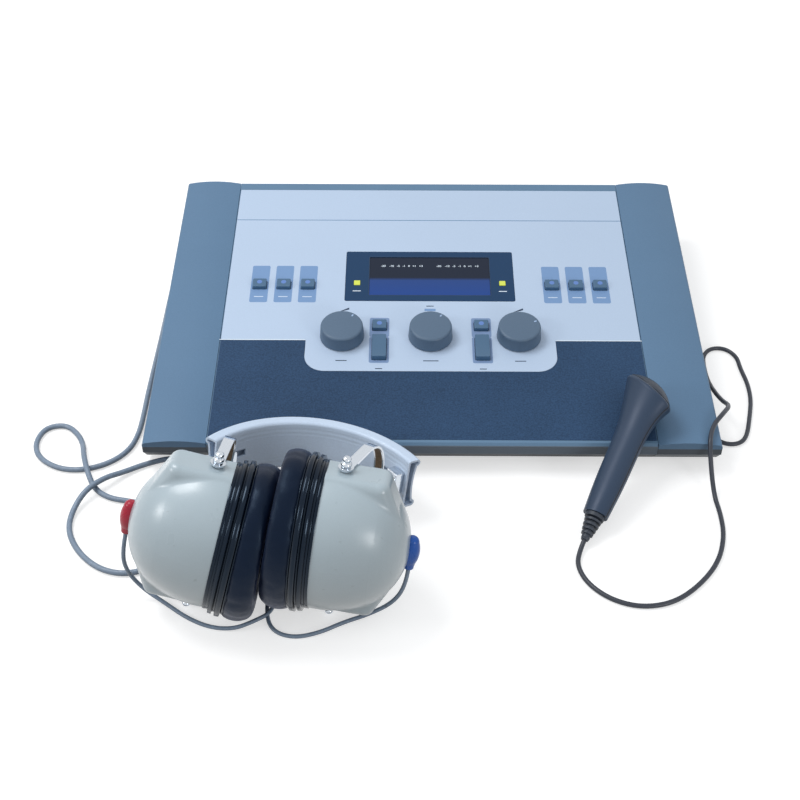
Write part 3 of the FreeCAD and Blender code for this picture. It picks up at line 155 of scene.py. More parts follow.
def set_light():
    """Three lamps, and a world that looks white and lights softly, most from overhead."""
    world = bpy.data.worlds.new("studio")
    scene.world = world
    world.use_nodes = True
    tree = world.node_tree
    tree.nodes.clear()
    way = add_node(tree, "TexCoord").outputs["Generated"]
    height = add_node(tree, "SeparateXYZ", way).outputs["Z"]
    strength = add_node(tree, "MapRange", height, *sky_heights, *sky_strengths).outputs[0]
    soft = add_node(tree, "Background", Color=sky_colour, Strength=strength).outputs[0]
    white = add_node(tree, "Background", Color=(1, 1, 1, 1)).outputs[0]
    mix = add_node(tree, "MixShader", seen_rays(tree), soft, white).outputs[0]
    add_node(tree, "OutputWorld", Surface=mix)
    for name, numbers in lamps.items():
        lamp(name, *numbers)


def set_floor():
    """A pale floor that looks white but throws little light back on the object."""
    bm = bmesh.new()
    bmesh.ops.create_grid(bm, x_segments=4, y_segments=4, size=floor_reach)
    bmesh.ops.translate(bm, verts=bm.verts, vec=(0, 0, -floor_drop))
    mesh = bpy.data.meshes.new("floor")
    bm.to_mesh(mesh)
    bm.free()
    floor = bpy.data.objects.new("floor", mesh)
    scene.collection.objects.link(floor)
    material = bpy.data.materials.new("pale_floor")
    material.use_nodes = True
    tree = material.node_tree
    tree.nodes.clear()
    pale = add_node(tree, "BsdfDiffuse", Color=floor_seen).outputs[0]
    glow = add_node(tree, "Emission", Strength=floor_glow).outputs[0]
    seen = add_node(tree, "AddShader", pale, glow).outputs[0]
    bounce = add_node(tree, "BsdfDiffuse", Color=floor_bounce).outputs[0]
    mix = add_node(tree, "MixShader", seen_rays(tree), bounce, seen).outputs[0]
    add_node(tree, "OutputMaterial", Surface=mix)
    mesh.materials.append(material)


# ---------------------------------------------------------------- finishes
def colour_of(code, share=1.0):
    """A written colour such as 6c8dae as linear values, made lighter or darker by a share."""
    values = [int(code[i:i + 2], 16) / 255 for i in (0, 2, 4)]
    linear = [v / 12.92 if v <= 0.04045 else ((v + 0.055) / 1.055) ** 2.4 for v in values]
    return (*[min(1.0, v * share) for v in linear], 1.0)


class Finish:
    """A material being made: its shader, and short ways to add grain, shade and bump."""

    def __init__(self, name, rough=0.5, metal=0.0, coat=0.0, coat_rough=0.1, shine=0.5,
                 tint=(1, 1, 1)):
        self.material = bpy.data.materials.new(name)
        self.material.use_nodes = True
        self.tree = self.material.node_tree
        self.shader = self.tree.nodes["Principled BSDF"]
        self.rough = rough
        self.set("Metallic", metal)
        self.set("Roughness", rough)
        self.set("Specular IOR Level", shine)
        self.set("Specular Tint", (*tint, 1))
        self.set("Coat Weight", coat)
        self.set("Coat Roughness", coat_rough)
        coordinates = self.node("TexCoord").outputs
        self.place, self.normal = coordinates["Object"], coordinates["Normal"]

    def set(self, socket, value):
        feed(self.tree, self.shader.inputs[socket], value)

    def node(self, kind, *in_order, **by_name):
        return add_node(self.tree, kind, *in_order, **by_name)

    def on(self, matrix=None, stretch=(1, 1, 1)):
        """Object coordinates in a piece's own directions, stretched along each."""
        made = self.node("Mapping", Vector=self.place, Scale=stretch)
        if matrix is not None:
            inverse = matrix.inverted()
            made.inputs["Location"].default_value = [
                a * s for a, s in zip(inverse.to_translation(), stretch)]
            made.inputs["Rotation"].default_value = inverse.to_euler()
        return made.outputs[0]

    def along(self, axis, matrix=None):
        """How far a spot lies along an axis, in metres, in a piece's own directions."""
        return self.node("SeparateXYZ", self.on(matrix) if matrix else self.place).outputs[axis]

    def speckle(self, size, detail=2.0, where=None, rough=0.5):
        """Noise whose grains are so many millimetres across."""
        return self.node("TexNoise", Vector=where or self.place, Scale=1000.0 / size, Detail=detail,
                         Roughness=rough).outputs[0]

    def cells(self, size, where=None):
        """The distance to the nearest of many points, so many millimetres apart."""
        return self.node("TexVoronoi", Vector=where or self.place,
                         Scale=1000.0 / size).outputs["Distance"]

    def spread(self, value, low, high, to_low=0.0, to_high=1.0):
        """A value's range from low to high made another range, and held to it."""
        return self.node("MapRange", value, low, high, to_low, to_high).outputs[0]

    def maths(self, operation, a, b=0.0):
        return self.node("Math", a, b, operation=operation).outputs[0]

    def facing(self, centre, near=0.006, far=0.012):
        """0 on faces that look out from a point, 1 on those that look in at it from far enough."""
        reach = self.node("VectorMath", self.place, centre, operation="SUBTRACT").outputs["Vector"]
        lean = self.node("VectorMath", reach, self.normal, operation="DOT_PRODUCT").outputs["Value"]
        return self.spread(lean, -near, -far)

    def blend(self, factor, a, b):
        """One colour or the other by a factor, which a colour mix takes in sockets 0, 6 and 7."""
        made = self.tree.nodes.new("ShaderNodeMix")
        made.data_type = "RGBA"
        for number, value in ((0, factor), (6, a), (7, b)):
            feed(self.tree, made.inputs[number], value)
        return made.outputs[2]

    def shade(self, code, share=0.06, size=0.6, cloud=45.0):
        """A colour with a fine fleck and slow clouds, both sizes in millimetres."""
        fine = self.spread(self.speckle(size), 0.35, 0.65)
        slow = self.spread(self.speckle(cloud, 3.0), 0.3, 0.7)
        fine, slow = self.maths("MULTIPLY", fine, 0.65), self.maths("MULTIPLY", slow, 0.35)
        total = self.maths("ADD", fine, slow)
        return self.blend(total, colour_of(code, 1 - share), colour_of(code, 1 + share))

    def colour(self, source):
        self.set("Base Color", source)

    def gloss(self, change=0.06, size=30.0):
        """Roughness that drifts a little, as handled plastic does."""
        low, high = max(0.02, self.rough - change), self.rough + change
        self.set("Roughness", self.spread(self.speckle(size, 3.0), 0.3, 0.7, low, high))

    def bump(self, height, depth):
        """Relief on top of what is there, its depth in millimetres."""
        made = self.node("Bump", Height=height, Distance=depth / 1000, Strength=1.0)
        normal = self.shader.inputs["Normal"]
        if normal.is_linked:
            feed(self.tree, made.inputs["Normal"], normal.links[0].from_socket)
        feed(self.tree, normal, made.outputs[0])


fleck = 1.4                          # a colour fleck's width over the grain's


def moulded(name, code, rough=0.45, grain=0.55, depth=0.018, share=0.05, coat=0.0, shine=0.4):
    """Injection-moulded plastic with a fine spark-eroded grain and slow hollows."""
    f = Finish(name, rough=rough, coat=coat, shine=shine)
    f.colour(f.shade(code, share, grain * fleck))
    f.gloss()
    f.bump(f.speckle(grain, 3.0), depth)
    f.bump(f.speckle(38.0, 1.0), 0.05)
    return f.material


def painted_shade_moulding(name, code, painted_shade_code, edge, blur=0.25, grain=0.6):
    """A moulding whose lower part, under a height in millimetres, is darker with painted shade."""
    f = Finish(name, rough=0.46, shine=0.3)
    above = f.spread(f.along("Z"), (edge - blur) / 1000, (edge + blur) / 1000)
    low, high = f.shade(painted_shade_code, 0.06, grain * fleck), f.shade(code, 0.05, grain * fleck)
    f.colour(f.blend(above, low, high))
    f.gloss(0.05)
    f.bump(f.speckle(grain, 3.0), 0.02)
    return f.material


def printed_film(name, code, share=0.03, grain=0.3, depth=0.010, rough=0.42, shine=0.25):
    """Screen-printed film with a velvet top."""
    f = Finish(name, rough=rough, shine=shine)
    f.colour(f.shade(code, share, grain * 2.2, 70.0))
    f.gloss(0.05, 45.0)
    f.bump(f.speckle(grain, 4.0), depth)
    return f.material


def metal(name, code, rough, scratch=0.006):
    """Bright metal with small clouds and fine scratches along X."""
    f = Finish(name, rough=rough, metal=1.0)
    cloud = f.spread(f.speckle(6.0, 4.0), 0.35, 0.65)
    f.colour(f.blend(cloud, colour_of(code, 0.88), colour_of(code, 1.04)))
    f.gloss(0.06, 4.0)
    f.bump(f.speckle(0.5, 4.0, f.on(stretch=(1.0, 9.0, 9.0))), scratch)
    return f.material


lining_run, lining_half = (0.0120, 0.0530), 0.0024       # from stud to block, and half its width


def lined_strap(name, code, lining, place, turn):
    """Bright strap with a narrower tan lining on its inner side."""
    f = Finish(name, rough=0.2, metal=1.0)
    place = place @ Matrix.Rotation(math.radians(-turn), 4, "Z")
    up = f.along("Y", place)
    past_stud = f.spread(up, lining_run[0], lining_run[0] + 0.0008)
    before_block = f.spread(up, lining_run[1], lining_run[1] - 0.0010)
    within = f.spread(f.maths("ABSOLUTE", f.along("X", place)), lining_half, lining_half - 0.0003)
    lined = f.maths("MULTIPLY", f.maths("MULTIPLY", past_stud, before_block), within)
    lined = f.maths("MULTIPLY", lined, f.facing(place.to_translation()))
    fibre = f.speckle(1.4, 6.0, f.on(stretch=(1.0, 0.4, 1.0)), 0.7)
    tan = f.blend(f.spread(fibre, 0.3, 0.7), colour_of(lining, 0.6), colour_of(lining, 1.25))
    f.colour(f.blend(lined, colour_of(code), tan))
    f.set("Metallic", f.spread(lined, 0.0, 1.0, 1.0, 0.0))
    f.set("Roughness", f.spread(lined, 0.0, 1.0, 0.18, 0.75))
    f.bump(f.maths("MULTIPLY", fibre, lined), 0.12)
    f.bump(f.speckle(0.5, 4.0), 0.006)
    return f.material


def enamel(name, code):
    """Cup shell: satin moulding with a soft shine, light orange peel and a few scuffs."""
    f = Finish(name, rough=0.34, coat=0.65, coat_rough=0.26)
    scuff = f.spread(f.speckle(5.0, 6.0, f.on(stretch=(1.0, 3.0, 1.0))), 0.68, 0.74)
    f.colour(f.blend(scuff, f.shade(code, 0.035, 0.5, 30.0), colour_of(code, 0.86)))
    f.gloss(0.07, 14.0)
    f.bump(f.speckle(0.7, 2.0), 0.012)
    f.bump(f.speckle(4.0, 2.0), 0.03)
    return f.material


flange_rib, band_rib = 0.0021, 0.0034                    # from one rib to the next
band_edge = (0.0075, 0.0085, 0.0145, 0.0155)             # where the band's ribs rise and fade


def ribbed(name, code, place):
    """Black flange moulding, its ribs rounded over between the grooves."""
    f = Finish(name, rough=0.14, shine=0.30, tint=(0.55, 0.76, 1.0))
    off_middle = f.maths("ABSOLUTE", f.along("X", place))
    wave = f.maths("SINE", f.maths("MULTIPLY", off_middle, math.pi / flange_rib))
    f.colour(f.shade(code, 0.10, 0.8))
    f.gloss(0.04)
    f.bump(f.maths("ABSOLUTE", wave), 0.30)
    return f.material


def band_plastic(name, code):
    """The headband's moulding, with a few low ribs along both its edges."""
    f = Finish(name, rough=0.34, coat=0.15, shine=0.4)
    off_middle = f.maths("ABSOLUTE", f.along("Z", band_place))
    rib = f.maths("SINE", f.maths("MULTIPLY", off_middle, 2 * math.pi / band_rib))
    near_edge = f.maths("MULTIPLY", f.spread(off_middle, band_edge[0], band_edge[1]),
                        f.spread(off_middle, band_edge[3], band_edge[2]))
    f.colour(f.shade(code, 0.04, 1.2))
    f.gloss()
    f.bump(f.speckle(0.9, 3.0), 0.02)
    f.bump(f.maths("MULTIPLY", rib, near_edge), 0.06)
    return f.material


def vinyl(name, code):
    """Soft vinyl skin: a blue sheen, fine pebble, folds, and patches with smaller clouds."""
    f = Finish(name, rough=0.38, shine=0.2, tint=(0.5, 0.72, 1.0))
    f.set("Sheen Weight", 0.12)
    f.set("Sheen Roughness", 0.4)
    f.set("Sheen Tint", (0.35, 0.45, 0.85, 1))
    worn = f.spread(f.speckle(16.0, 4.0), 0.5, 0.75)
    f.colour(f.blend(worn, f.shade(code, 0.10, 0.8, 22.0), f.shade(code, 0.10, 0.8, 9.0)))
    f.gloss(0.08, 10.0)
    f.bump(f.cells(0.75), 0.035)
    f.bump(f.speckle(7.0, 3.0, f.on(stretch=(1.0, 0.45, 0.45)), 0.55), 0.35)
    return f.material


def rubber(name, code, rough=0.6):
    """Matt rubber with a coarse fleck."""
    f = Finish(name, rough=rough)
    f.colour(f.shade(code, 0.12, 0.9, 20.0))
    f.gloss(0.08, 9.0)
    f.bump(f.speckle(0.8, 4.0), 0.03)
    return f.material


def cord_skin(name, code):
    """Extruded jacket: faint dents, dust and slow changes of gloss."""
    f = Finish(name, rough=0.42, coat=0.1, coat_rough=0.3)
    dust = f.spread(f.speckle(2.4, 5.0), 0.56, 0.72)
    f.colour(f.blend(dust, f.shade(code, 0.07, 0.5, 18.0), colour_of(code, 1.28)))
    f.gloss(0.08, 6.0)
    f.bump(f.speckle(0.5, 3.0), 0.012)
    f.bump(f.speckle(5.0, 2.0), 0.06)
    return f.material


# a dark line painted just above the shells' split: painted shade along the seam
seam_shadow_up, seam_shadow_width = 0.0010, 0.0008                     # its height over the handset's axis


def handset_plastic(name, code, seam_shadow_code):
    """The handset's satin moulding, with a dark sunk line painted 1 mm above where its two shells
    meet: painted shade along the seam.
    """
    f = Finish(name, rough=0.42, shine=0.36, tint=(0.8, 0.85, 1.0))
    away = f.maths("ABSOLUTE", f.maths("SUBTRACT", f.along("Z", handset_place), seam_shadow_up))
    outside = f.spread(away, seam_shadow_width * 0.5, seam_shadow_width * 0.75)
    f.colour(f.blend(outside, colour_of(seam_shadow_code), f.shade(code, 0.06, 0.7)))
    f.gloss(0.05)
    f.bump(f.speckle(0.5, 3.0), 0.016)
    f.bump(f.speckle(38.0, 1.0), 0.05)
    f.bump(outside, 0.2)
    return f.material


def glow_lens(name, code, strength):
    """A moulded lens, lit from behind."""
    f = Finish(name, rough=0.2, coat=0.5)
    f.colour(f.shade(code, 0.08, 0.8, 3.0))
    f.set("Emission Color", colour_of(code))
    f.set("Emission Strength", strength)
    f.bump(f.cells(0.6), 0.02)
    return f.material


screen_low, screen_edge, screen_high = 0.1450, (0.1618, 0.1648), 0.1640      # up the panel


def lit_field(name, dark, low_blue, high_blue, dot):
    """The display's field: brown-black above, lit blue below, with a faint dot grid."""
    f = Finish(name, rough=0.22, coat=0.05, coat_rough=0.05, shine=0.12)
    up = f.along("Y", panel)
    blue = f.blend(f.spread(up, screen_low, screen_high), colour_of(low_blue), colour_of(high_blue))
    field = f.blend(f.spread(up, *screen_edge), blue, colour_of(dark))
    dots = f.maths("MULTIPLY", f.spread(f.cells(0.55, f.on(panel)), 0.12, 0.30), 0.16)
    lit = f.blend(dots, field, colour_of(dot))
    f.colour(lit)
    f.set("Emission Color", lit)
    f.set("Emission Strength", 0.18)
    f.gloss(0.03, 60.0)
    return f.material


finishes = {
    # below the given heights in millimetres, the end caps and cover are darker with painted shade
    "end_cap": painted_shade_moulding("end_cap_moulding", "5b7a98", "474f57", 20.5),
    "cover": painted_shade_moulding("cover_moulding", "5f7e9a", "5e6a76", 22.6),
    "tray": moulded("tray_moulding", "33383d", 0.55, 0.7, 0.025),
    "rear": moulded("rear_panel_paint", "3b444c", 0.45, 0.5, 0.02),
    "pale_film": printed_film("pale_panel_film", "b6c8df"),
    "dark_film": printed_film("dark_panel_film", "2b4462", 0.30, 0.5, 0.014, 0.5, 0.15),
    "window": printed_film("window_film", "223f60", 0.05, 0.25, 0.004, 0.34, 0.12),
    "screen": lit_field("lit_screen", "1c2433", "22458a", "2a4680", "1a2238"),
    "lens": glow_lens("indicator_yellow", "c0ca42", 0.26),
    "plate_ink": printed_film("key_plate_ink", "7797c1"),
    "tone_ink": printed_film("tone_plate_ink", "7b93b8"),
    "line_ink": printed_film("line_ink", "5f82a6", 0.04),
    "white_ink": printed_film("white_ink", "dbe7f3", 0.02),
    "caption_ink": printed_film("caption_ink", "a3bbdb", 0.02),
    "dark_ink": printed_film("dark_ink", "32435a", 0.05),
    "dot_ink": printed_film("key_dot_ink", "6586c4"),
    "key": moulded("key_moulding", "466785", 0.38, 0.4, 0.012, 0.06),
    "knob": moulded("knob_moulding", "52687f", 0.42, 0.45, 0.016, 0.06),
    "band": band_plastic("headband_moulding", "c4d5ea"),
    "cup": enamel("cup_shell", "a6b6bf"),
    "left_flange": ribbed("left_flange_moulding", "070f1e", left_cup_place),
    "right_flange": ribbed("right_flange_moulding", "070f1e", right_cup_place),
    "cushion": vinyl("cushion_vinyl", "091326"),
    "red": moulded("red_bushing", "a81232", 0.26, 0.4, 0.008, 0.06, coat=0.05),
    "blue": moulded("blue_bushing", "0052ae", 0.26, 0.4, 0.008, 0.06, coat=0.05),
    "chrome": metal("bright_plating", "cfd6de", 0.14),
    "left_strap": lined_strap("left_strap_plating", "cfd6de", "6b5844", left_cup_place, 3.5),
    "right_strap": lined_strap("right_strap_plating", "cfd6de", "6b5844", right_cup_place, 17.2),
    "steel": metal("screw_steel", "9aa0a6", 0.3, 0.012),
    "nickel": metal("contact_nickel", "c9c6bd", 0.2, 0.008),
    "rubber": rubber("foot_rubber", "24272a"),
    "black_part": moulded("black_part", "23272c", 0.4, 0.5, 0.015),
    "board": moulded("board_lacquer", "245a3c", 0.35, 1.4, 0.03, 0.12),
    # the near-black second colour is painted shade along the handset's seam
    "handset": handset_plastic("handset_moulding", "2f3f54", "0d1118"),
    "button": moulded("button_moulding", "25303f", 0.4, 0.5, 0.012, 0.06, shine=0.3),
    "grey_cord": cord_skin("grey_cord", "76879b"),
    "black_cord": cord_skin("black_cord", "2a303c"),
    "relief": rubber("strain_relief", "2e3642", 0.5),
}

dress = {
    "base_tray": "tray", "top_cover": "cover", "left_end_cap": "end_cap", "right_end_cap": "end_cap",
    "control_overlay": "pale_film", "front_overlay": "dark_film", "display_window": "window",
    "display_module": "screen", "indicator_lenses": "lens", "frequency_knob": "knob",
    "circuit_board": "board", "key_switches": "black_part", "encoders": "black_part",
    "rear_panel": "rear", "jack_sockets": "black_part", "power_entry_module": "black_part",
    "power_rocker": "key", "rubber_feet": "rubber", "case_screws": "steel",
    "headband": "band", "left_lead_bushing": "red", "right_lead_bushing": "blue",
    "lead_junction": "grey_cord", "headset_cable": "grey_cord", "headset_coil": "grey_cord",
    "headset_plugs": "black_part",
    "handset_upper_shell": "handset", "handset_lower_shell": "handset", "response_button": "button",
    "handset_switch": "black_part", "handset_strain_relief": "relief",
    "handset_cord": "black_cord", "handset_coil": "black_cord", "handset_plug": "black_part",
}
for side in sides:
    dress.update({
        side + "_inner_key": "key", side + "_middle_key": "key", side + "_outer_key": "key",
        side + "_signal_key": "key", side + "_tone_bar": "key", side + "_level_knob": "knob",
        side + "_yoke": side + "_strap", side + "_pivot_studs": "chrome", side + "_cup": "cup",
        side + "_cup_flange": side + "_flange", side + "_earphone": "black_part",
        side + "_ear_cushion": "cushion", side + "_lead": "grey_cord"})


def dress_nodes():
    for name, finish in dress.items():
        mesh = nodes[name].data
        mesh.materials.clear()
        mesh.materials.append(finishes[finish])


# ---------------------------------------------------------------- making pieces
def piece(name, bm, finish, body="console", smooth=True, replaced=None):
    """Turn a built mesh into a piece that rides on a body."""
    mesh = bpy.data.meshes.new(name)
    bm.to_mesh(mesh)
    bm.free()
    mesh.materials.append(finishes[finish])
    for face in mesh.polygons:
        face.use_smooth = smooth
    obj = bpy.data.objects.new(name, mesh)
    scene.collection.objects.link(obj)
    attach(obj, body)
    if replaced:
        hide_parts(replaced)
    return obj


def merge(target, source):
    """Move everything in one bmesh into another."""
    mesh = bpy.data.meshes.new("part")
    source.to_mesh(mesh)
    source.free()
    target.from_mesh(mesh)
    bpy.data.meshes.remove(mesh)


def mesh_of(obj):
    """The finished mesh of a curve, of a text, or of an object with modifiers."""
    bpy.context.view_layer.update()
    return bpy.data.meshes.new_from_object(
        obj.evaluated_get(bpy.context.evaluated_depsgraph_get()))


film_low, film_high = -0.03, 0.04    # underside and top, over the panel, of a print on the sheets
window_low, window_high = 0.10, 0.19                     # and of a print on the display window


def rounded_outline(bm, width, depth, corner, u, v, n):
    """A rounded rectangle face on the panel, in millimetres."""
    made = bmesh.ops.create_grid(bm, x_segments=1, y_segments=1, size=0.5)["verts"]
    bmesh.ops.scale(bm, verts=made, vec=(width / 1000, depth / 1000, 1))
    corners = bmesh.ops.bevel(bm, geom=made, offset=corner / 1000, segments=5, profile=0.5,
                              affect="VERTICES", material=-1)
    ring = {x for face in corners["faces"] for x in face.verts} | set(corners["verts"])
    bmesh.ops.transform(bm, verts=list(ring), matrix=panel @ Matrix.Translation(at(u, v, n)))


def raise_faces(bm, low, high):
    """Give flat faces on the panel a thickness, from low to high along the panel's normal."""
    made = bmesh.ops.extrude_face_region(bm, geom=bm.faces[:])
    top = [x for x in made["geom"] if isinstance(x, bmesh.types.BMVert)]
    normal = panel.to_3x3() @ Vector((0, 0, 1))
    bmesh.ops.translate(bm, verts=top, vec=normal * (high - low) / 1000)
    bmesh.ops.recalc_face_normals(bm, faces=bm.faces)


def patch(size, u, v, low=film_low, high=film_high, hole=None, hole_v=0.0):
    """One print on the panel, solid: its size is (width, depth, corner), and its hole's too."""
    bm = bmesh.new()
    rounded_outline(bm, *size, u, v, low)
    if hole:
        rounded_outline(bm, *hole, u, hole_v, low)
        bmesh.ops.delete(bm, geom=bm.faces[:], context="FACES_ONLY")
        bmesh.ops.bridge_loops(bm, edges=bm.edges[:])
    raise_faces(bm, low, high)
    return bm


def spun(profile, steps=48):
    """A closed turned shape about the X axis from (x, radius) pairs in millimetres."""
    bm = bmesh.new()
    line = [bm.verts.new((x / 1000, 0, r / 1000)) for x, r in profile]
    for a, b in zip(line, line[1:]):
        bm.edges.new((a, b))
    bmesh.ops.spin(bm, geom=bm.verts[:] + bm.edges[:], cent=(0, 0, 0), axis=(1, 0, 0),
                   angle=2 * math.pi, steps=steps, use_merge=True)
    bmesh.ops.remove_doubles(bm, verts=bm.verts, dist=1e-6)
    bmesh.ops.recalc_face_normals(bm, faces=bm.faces)
    return bm


# ---------------------------------------------------------------- cords
lead_radius, cable_radius, cord_radius, tail_radius = 1.3, 1.9, 1.6, 1.4
drop_length, bend_reach = 0.0335, 0.055      # a lead's hanging length, and how far its bend reaches
left_lead_route = [
    (-184.172, -168.467, 52.613), (-188.183, -172.356, 37.620), (-187.5, -172.5, 21.0),
    (-179, -174, 6.5), (-165, -181), (-151, -192), (-136, -199.5), (-121, -201.5, 2.4),
    (-109, -198, 5.4), (-98, -190.5, 5.4), (-97.7, -179, 2.6)]
right_lead_route = [
    (-15.807, -183.220, 38.386), (-17.363, -186.337, 25.861), (-25, -188.5, 12),
    (-40, -190.5, 3.2), (-55, -195), (-69, -203), (-84, -207), (-96.5, -203),
    (-102.4, -191.5, 1.4), (-102.3, -179, 2.6)]
headset_cable_route = [
    (-100, -166, 2.6), (-100, -149), (-101.5, -129), (-107.5, -108), (-119, -87), (-136, -69),
    (-156, -57), (-177, -53.5), (-196, -60.5), (-209, -69.5, 3), (-219.5, -79, 7.4),
    (-230.5, -91, 7.4), (-237, -106, 2.4), (-236.5, -121), (-230, -135), (-220, -147),
    (-208, -155.5), (-194, -158.5), (-180, -154.5), (-169.5, -143), (-167, -127), (-173, -111),
    (-185, -99.5), (-200, -95.5), (-214.5, -93), (-226, -84.5), (-232, -73.5, 7.4),
    (-237.5, -57, 7.4), (-241, -43, 2.4), (-246.5, -31.5), (-257, -21.5), (-270.8, -24.5),
    (-275, -38), (-272, -51), (-262, -61), (-249, -66.5), (-234, -66), (-219, -59),
    (-208.5, -47), (-204.5, -31), (-204, -12), (-204.4, 12), (-204, 45), (-203.6, 85),
    (-203.9, 125), (-203.5, 165), (-203, 199), (-198, 217), (-189.5, 231.5)]
handset_cord_route = [
    (96.995, -130.925, 4.922), (93.57, -137.57, 2.07), (90.8, -150), (96.5, -165), (110, -177.5),
    (128, -183), (148, -179), (166, -165), (181, -146), (188.5, -124), (189.5, -104), (188, -86),
    (184.5, -66.5, 27.8), (189, -50, 29.6), (199, -37.5, 31), (206.5, -24, 25), (205.5, -8, 15),
    (203.5, 12, 8), (203.4, 30, 2.2), (203.8, 47), (205.3, 58), (212.5, 66.5), (223.5, 66),
    (230.3, 56.5), (230.3, 43), (232.5, 26), (231.5, 8), (227, -10), (221, -31),
    (213.9, -38.1), (204.2, -38.1), (197.4, -31.2), (197.2, -14), (197.4, 18), (197.5, 52),
    (197.2, 96), (197.5, 140), (197.2, 178), (196.4, 206), (193.5, 226)]


def lying(points, radius):
    """Points with no height lie on the table."""
    return [at(*(p if len(p) == 3 else (p[0], p[1], radius))) for p in points]


def coil_turns(centre, outer, radius, start, turns_in, turns_out, way):
    """A neat two-layer coil: it winds inward on the table and outward on top of itself."""
    points_a_turn, climb = 14, 0.14
    widening = 1.013                 # makes up for the spline's cutting inside its points
    points = []
    for k in range(int((turns_in + turns_out) * points_a_turn) + 1):
        turn = k / points_a_turn
        inward = min(turn, turns_in) - max(0.0, turn - turns_in)
        across = (outer - 2 * radius * inward) * widening
        layer = min(1.0, max(0.0, (turn - turns_in) / climb))
        angle = math.radians(start) + way * 2 * math.pi * turn
        points.append(at(centre[0] + across * math.cos(angle), centre[1] + across * math.sin(angle),
                         radius * (1 + 2 * layer)))
    return points


def cord_curve(name, points, radius, finish):
    """A round cord along a smooth spline, its radius in millimetres."""
    curve = bpy.data.curves.new(name, "CURVE")
    curve.dimensions = "3D"
    spline = curve.splines.new("NURBS")
    spline.points.add(len(points) - 1)
    for control, p in zip(spline.points, points):
        control.co = (*p, 1)
        control.radius = radius / 1000       # the object's box counts this, in metres
    spline.order_u = 3
    spline.use_endpoint_u = True
    spline.resolution_u = 6
    curve.bevel_depth = 1.0
    curve.bevel_resolution = 4
    curve.use_fill_caps = True
    curve.materials.append(finishes[finish])
    obj = bpy.data.objects.new(name, curve)
    scene.collection.objects.link(obj)
    return obj


def centre_line(obj):
    """The points that a curve runs through."""
    depth, obj.data.bevel_depth = obj.data.bevel_depth, 0
    mesh = mesh_of(obj)
    line = [v.co.copy() for v in mesh.vertices]
    bpy.data.meshes.remove(mesh)
    obj.data.bevel_depth = depth
    bpy.context.view_layer.update()
    return line


def run_length(line):
    return sum((b - a).length for a, b in zip(line, line[1:]))


def halved_tube(obj, line, cut_at, finish):
    """A cord's tube as two meshes, cut square across at one point of its line."""
    mesh = mesh_of(obj)
    along = (line[cut_at + 1] - line[cut_at - 1]).normalized()
    halves = []
    for name, inner, outer in ((obj.name + "_drop", False, True), (obj.name + "_run", True, False)):
        bm = bmesh.new()
        bm.from_mesh(mesh)
        bmesh.ops.remove_doubles(bm, verts=bm.verts, dist=1e-7)
        bmesh.ops.bisect_plane(bm, geom=bm.verts[:] + bm.edges[:] + bm.faces[:], dist=1e-7,
                               plane_co=line[cut_at], plane_no=along, clear_inner=inner,
                               clear_outer=outer)
        bmesh.ops.holes_fill(bm, edges=[e for e in bm.edges if e.is_boundary], sides=0)
        made = bpy.data.meshes.new(name)
        bm.to_mesh(made)
        bm.free()
        made.materials.append(finishes[finish])
        for face in made.polygons:
            face.use_smooth = len(face.vertices) == 4
        half = bpy.data.objects.new(name, made)
        scene.collection.objects.link(half)
        halves.append(half)
    bpy.data.meshes.remove(mesh)
    bpy.data.objects.remove(obj)
    return halves


def make_lead(side, route):
    """A lead in two lengths: the drop that hangs from the cup, and the run that lies on the table.
    """
    curve = cord_curve(side + "_lead_cord", lying(route, lead_radius), lead_radius, "grey_cord")
    line = centre_line(curve)
    cut = next(k for k in range(1, len(line)) if run_length(line[:k + 1]) > drop_length)
    drop, run = halved_tube(curve, line, cut, "grey_cord")
    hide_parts(side + "_lead")
    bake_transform(drop)
    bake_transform(run)


plug_height = 5.6                    # a plug's axis above the table
plug_contacts = [
    (0, 0), (0.3, 1.0), (1.4, 2.2), (2.6, 2.75), (3.4, 2.6), (4.6, 2.15), (5.8, 3.0), (6.4, 3.15),
    (9.0, 3.15), (9.05, 3.0), (9.9, 3.0), (9.95, 3.15), (13.6, 3.15), (13.65, 3.0), (14.5, 3.0),
    (14.55, 3.15), (30.2, 3.15), (30.25, 4.4), (31.6, 4.4), (31.6, 0)]
sleeve_front = [(31.4, 0), (31.4, 5.2), (31.8, 5.6)]
sleeve_rear = [(50.5, 5.6), (52.2, 5.4), (55.0, 4.4), (58.5, 3.0), (61.0, 2.2), (61.0, 0)]
groove_count, first_groove, groove_pitch = 7, 34.0, 1.9
groove = [(0, 5.6), (0.35, 5.15), (0.95, 5.15), (1.3, 5.6)]
plug_band = [(48.3, 5.5), (48.3, 5.72), (48.5, 5.8), (49.8, 5.8), (50.0, 5.72), (50.0, 5.5)]
split_boot = [(-5.5, 0), (-5.5, 2.3), (-4.5, 2.7), (1.5, 3.1), (4.0, 2.9), (5.0, 2.2), (5.0, 0)]
split_at, split_way = at(-143.2, 269.6, 5.7), Vector((0.92, -0.39, 0))
second_tail = [at(-141.5, 268.4, 5.7), at(-137.4, 265.8, 5.7), at(-136.6, 260.5, 5.7),
               at(-135.4, 255.6, plug_height), at(-129.6, 255.0, plug_height)]


def jack_plug_parts(tip_x, y, heading):
    """A stereo jack plug lying along X: its contacts, its grooved sleeve and its coloured band."""
    grooves = [(first_groove + groove_pitch * k + x, r) for k in range(groove_count)
               for x, r in groove]
    parts = spun(plug_contacts), spun(sleeve_front + grooves + sleeve_rear), spun(plug_band)
    place = Matrix.Translation(at(tip_x, y, plug_height))
    if heading < 0:
        place = place @ Matrix.Rotation(math.pi, 4, "Z")
    for bm in parts:
        bmesh.ops.transform(bm, verts=bm.verts, matrix=place)
    return parts


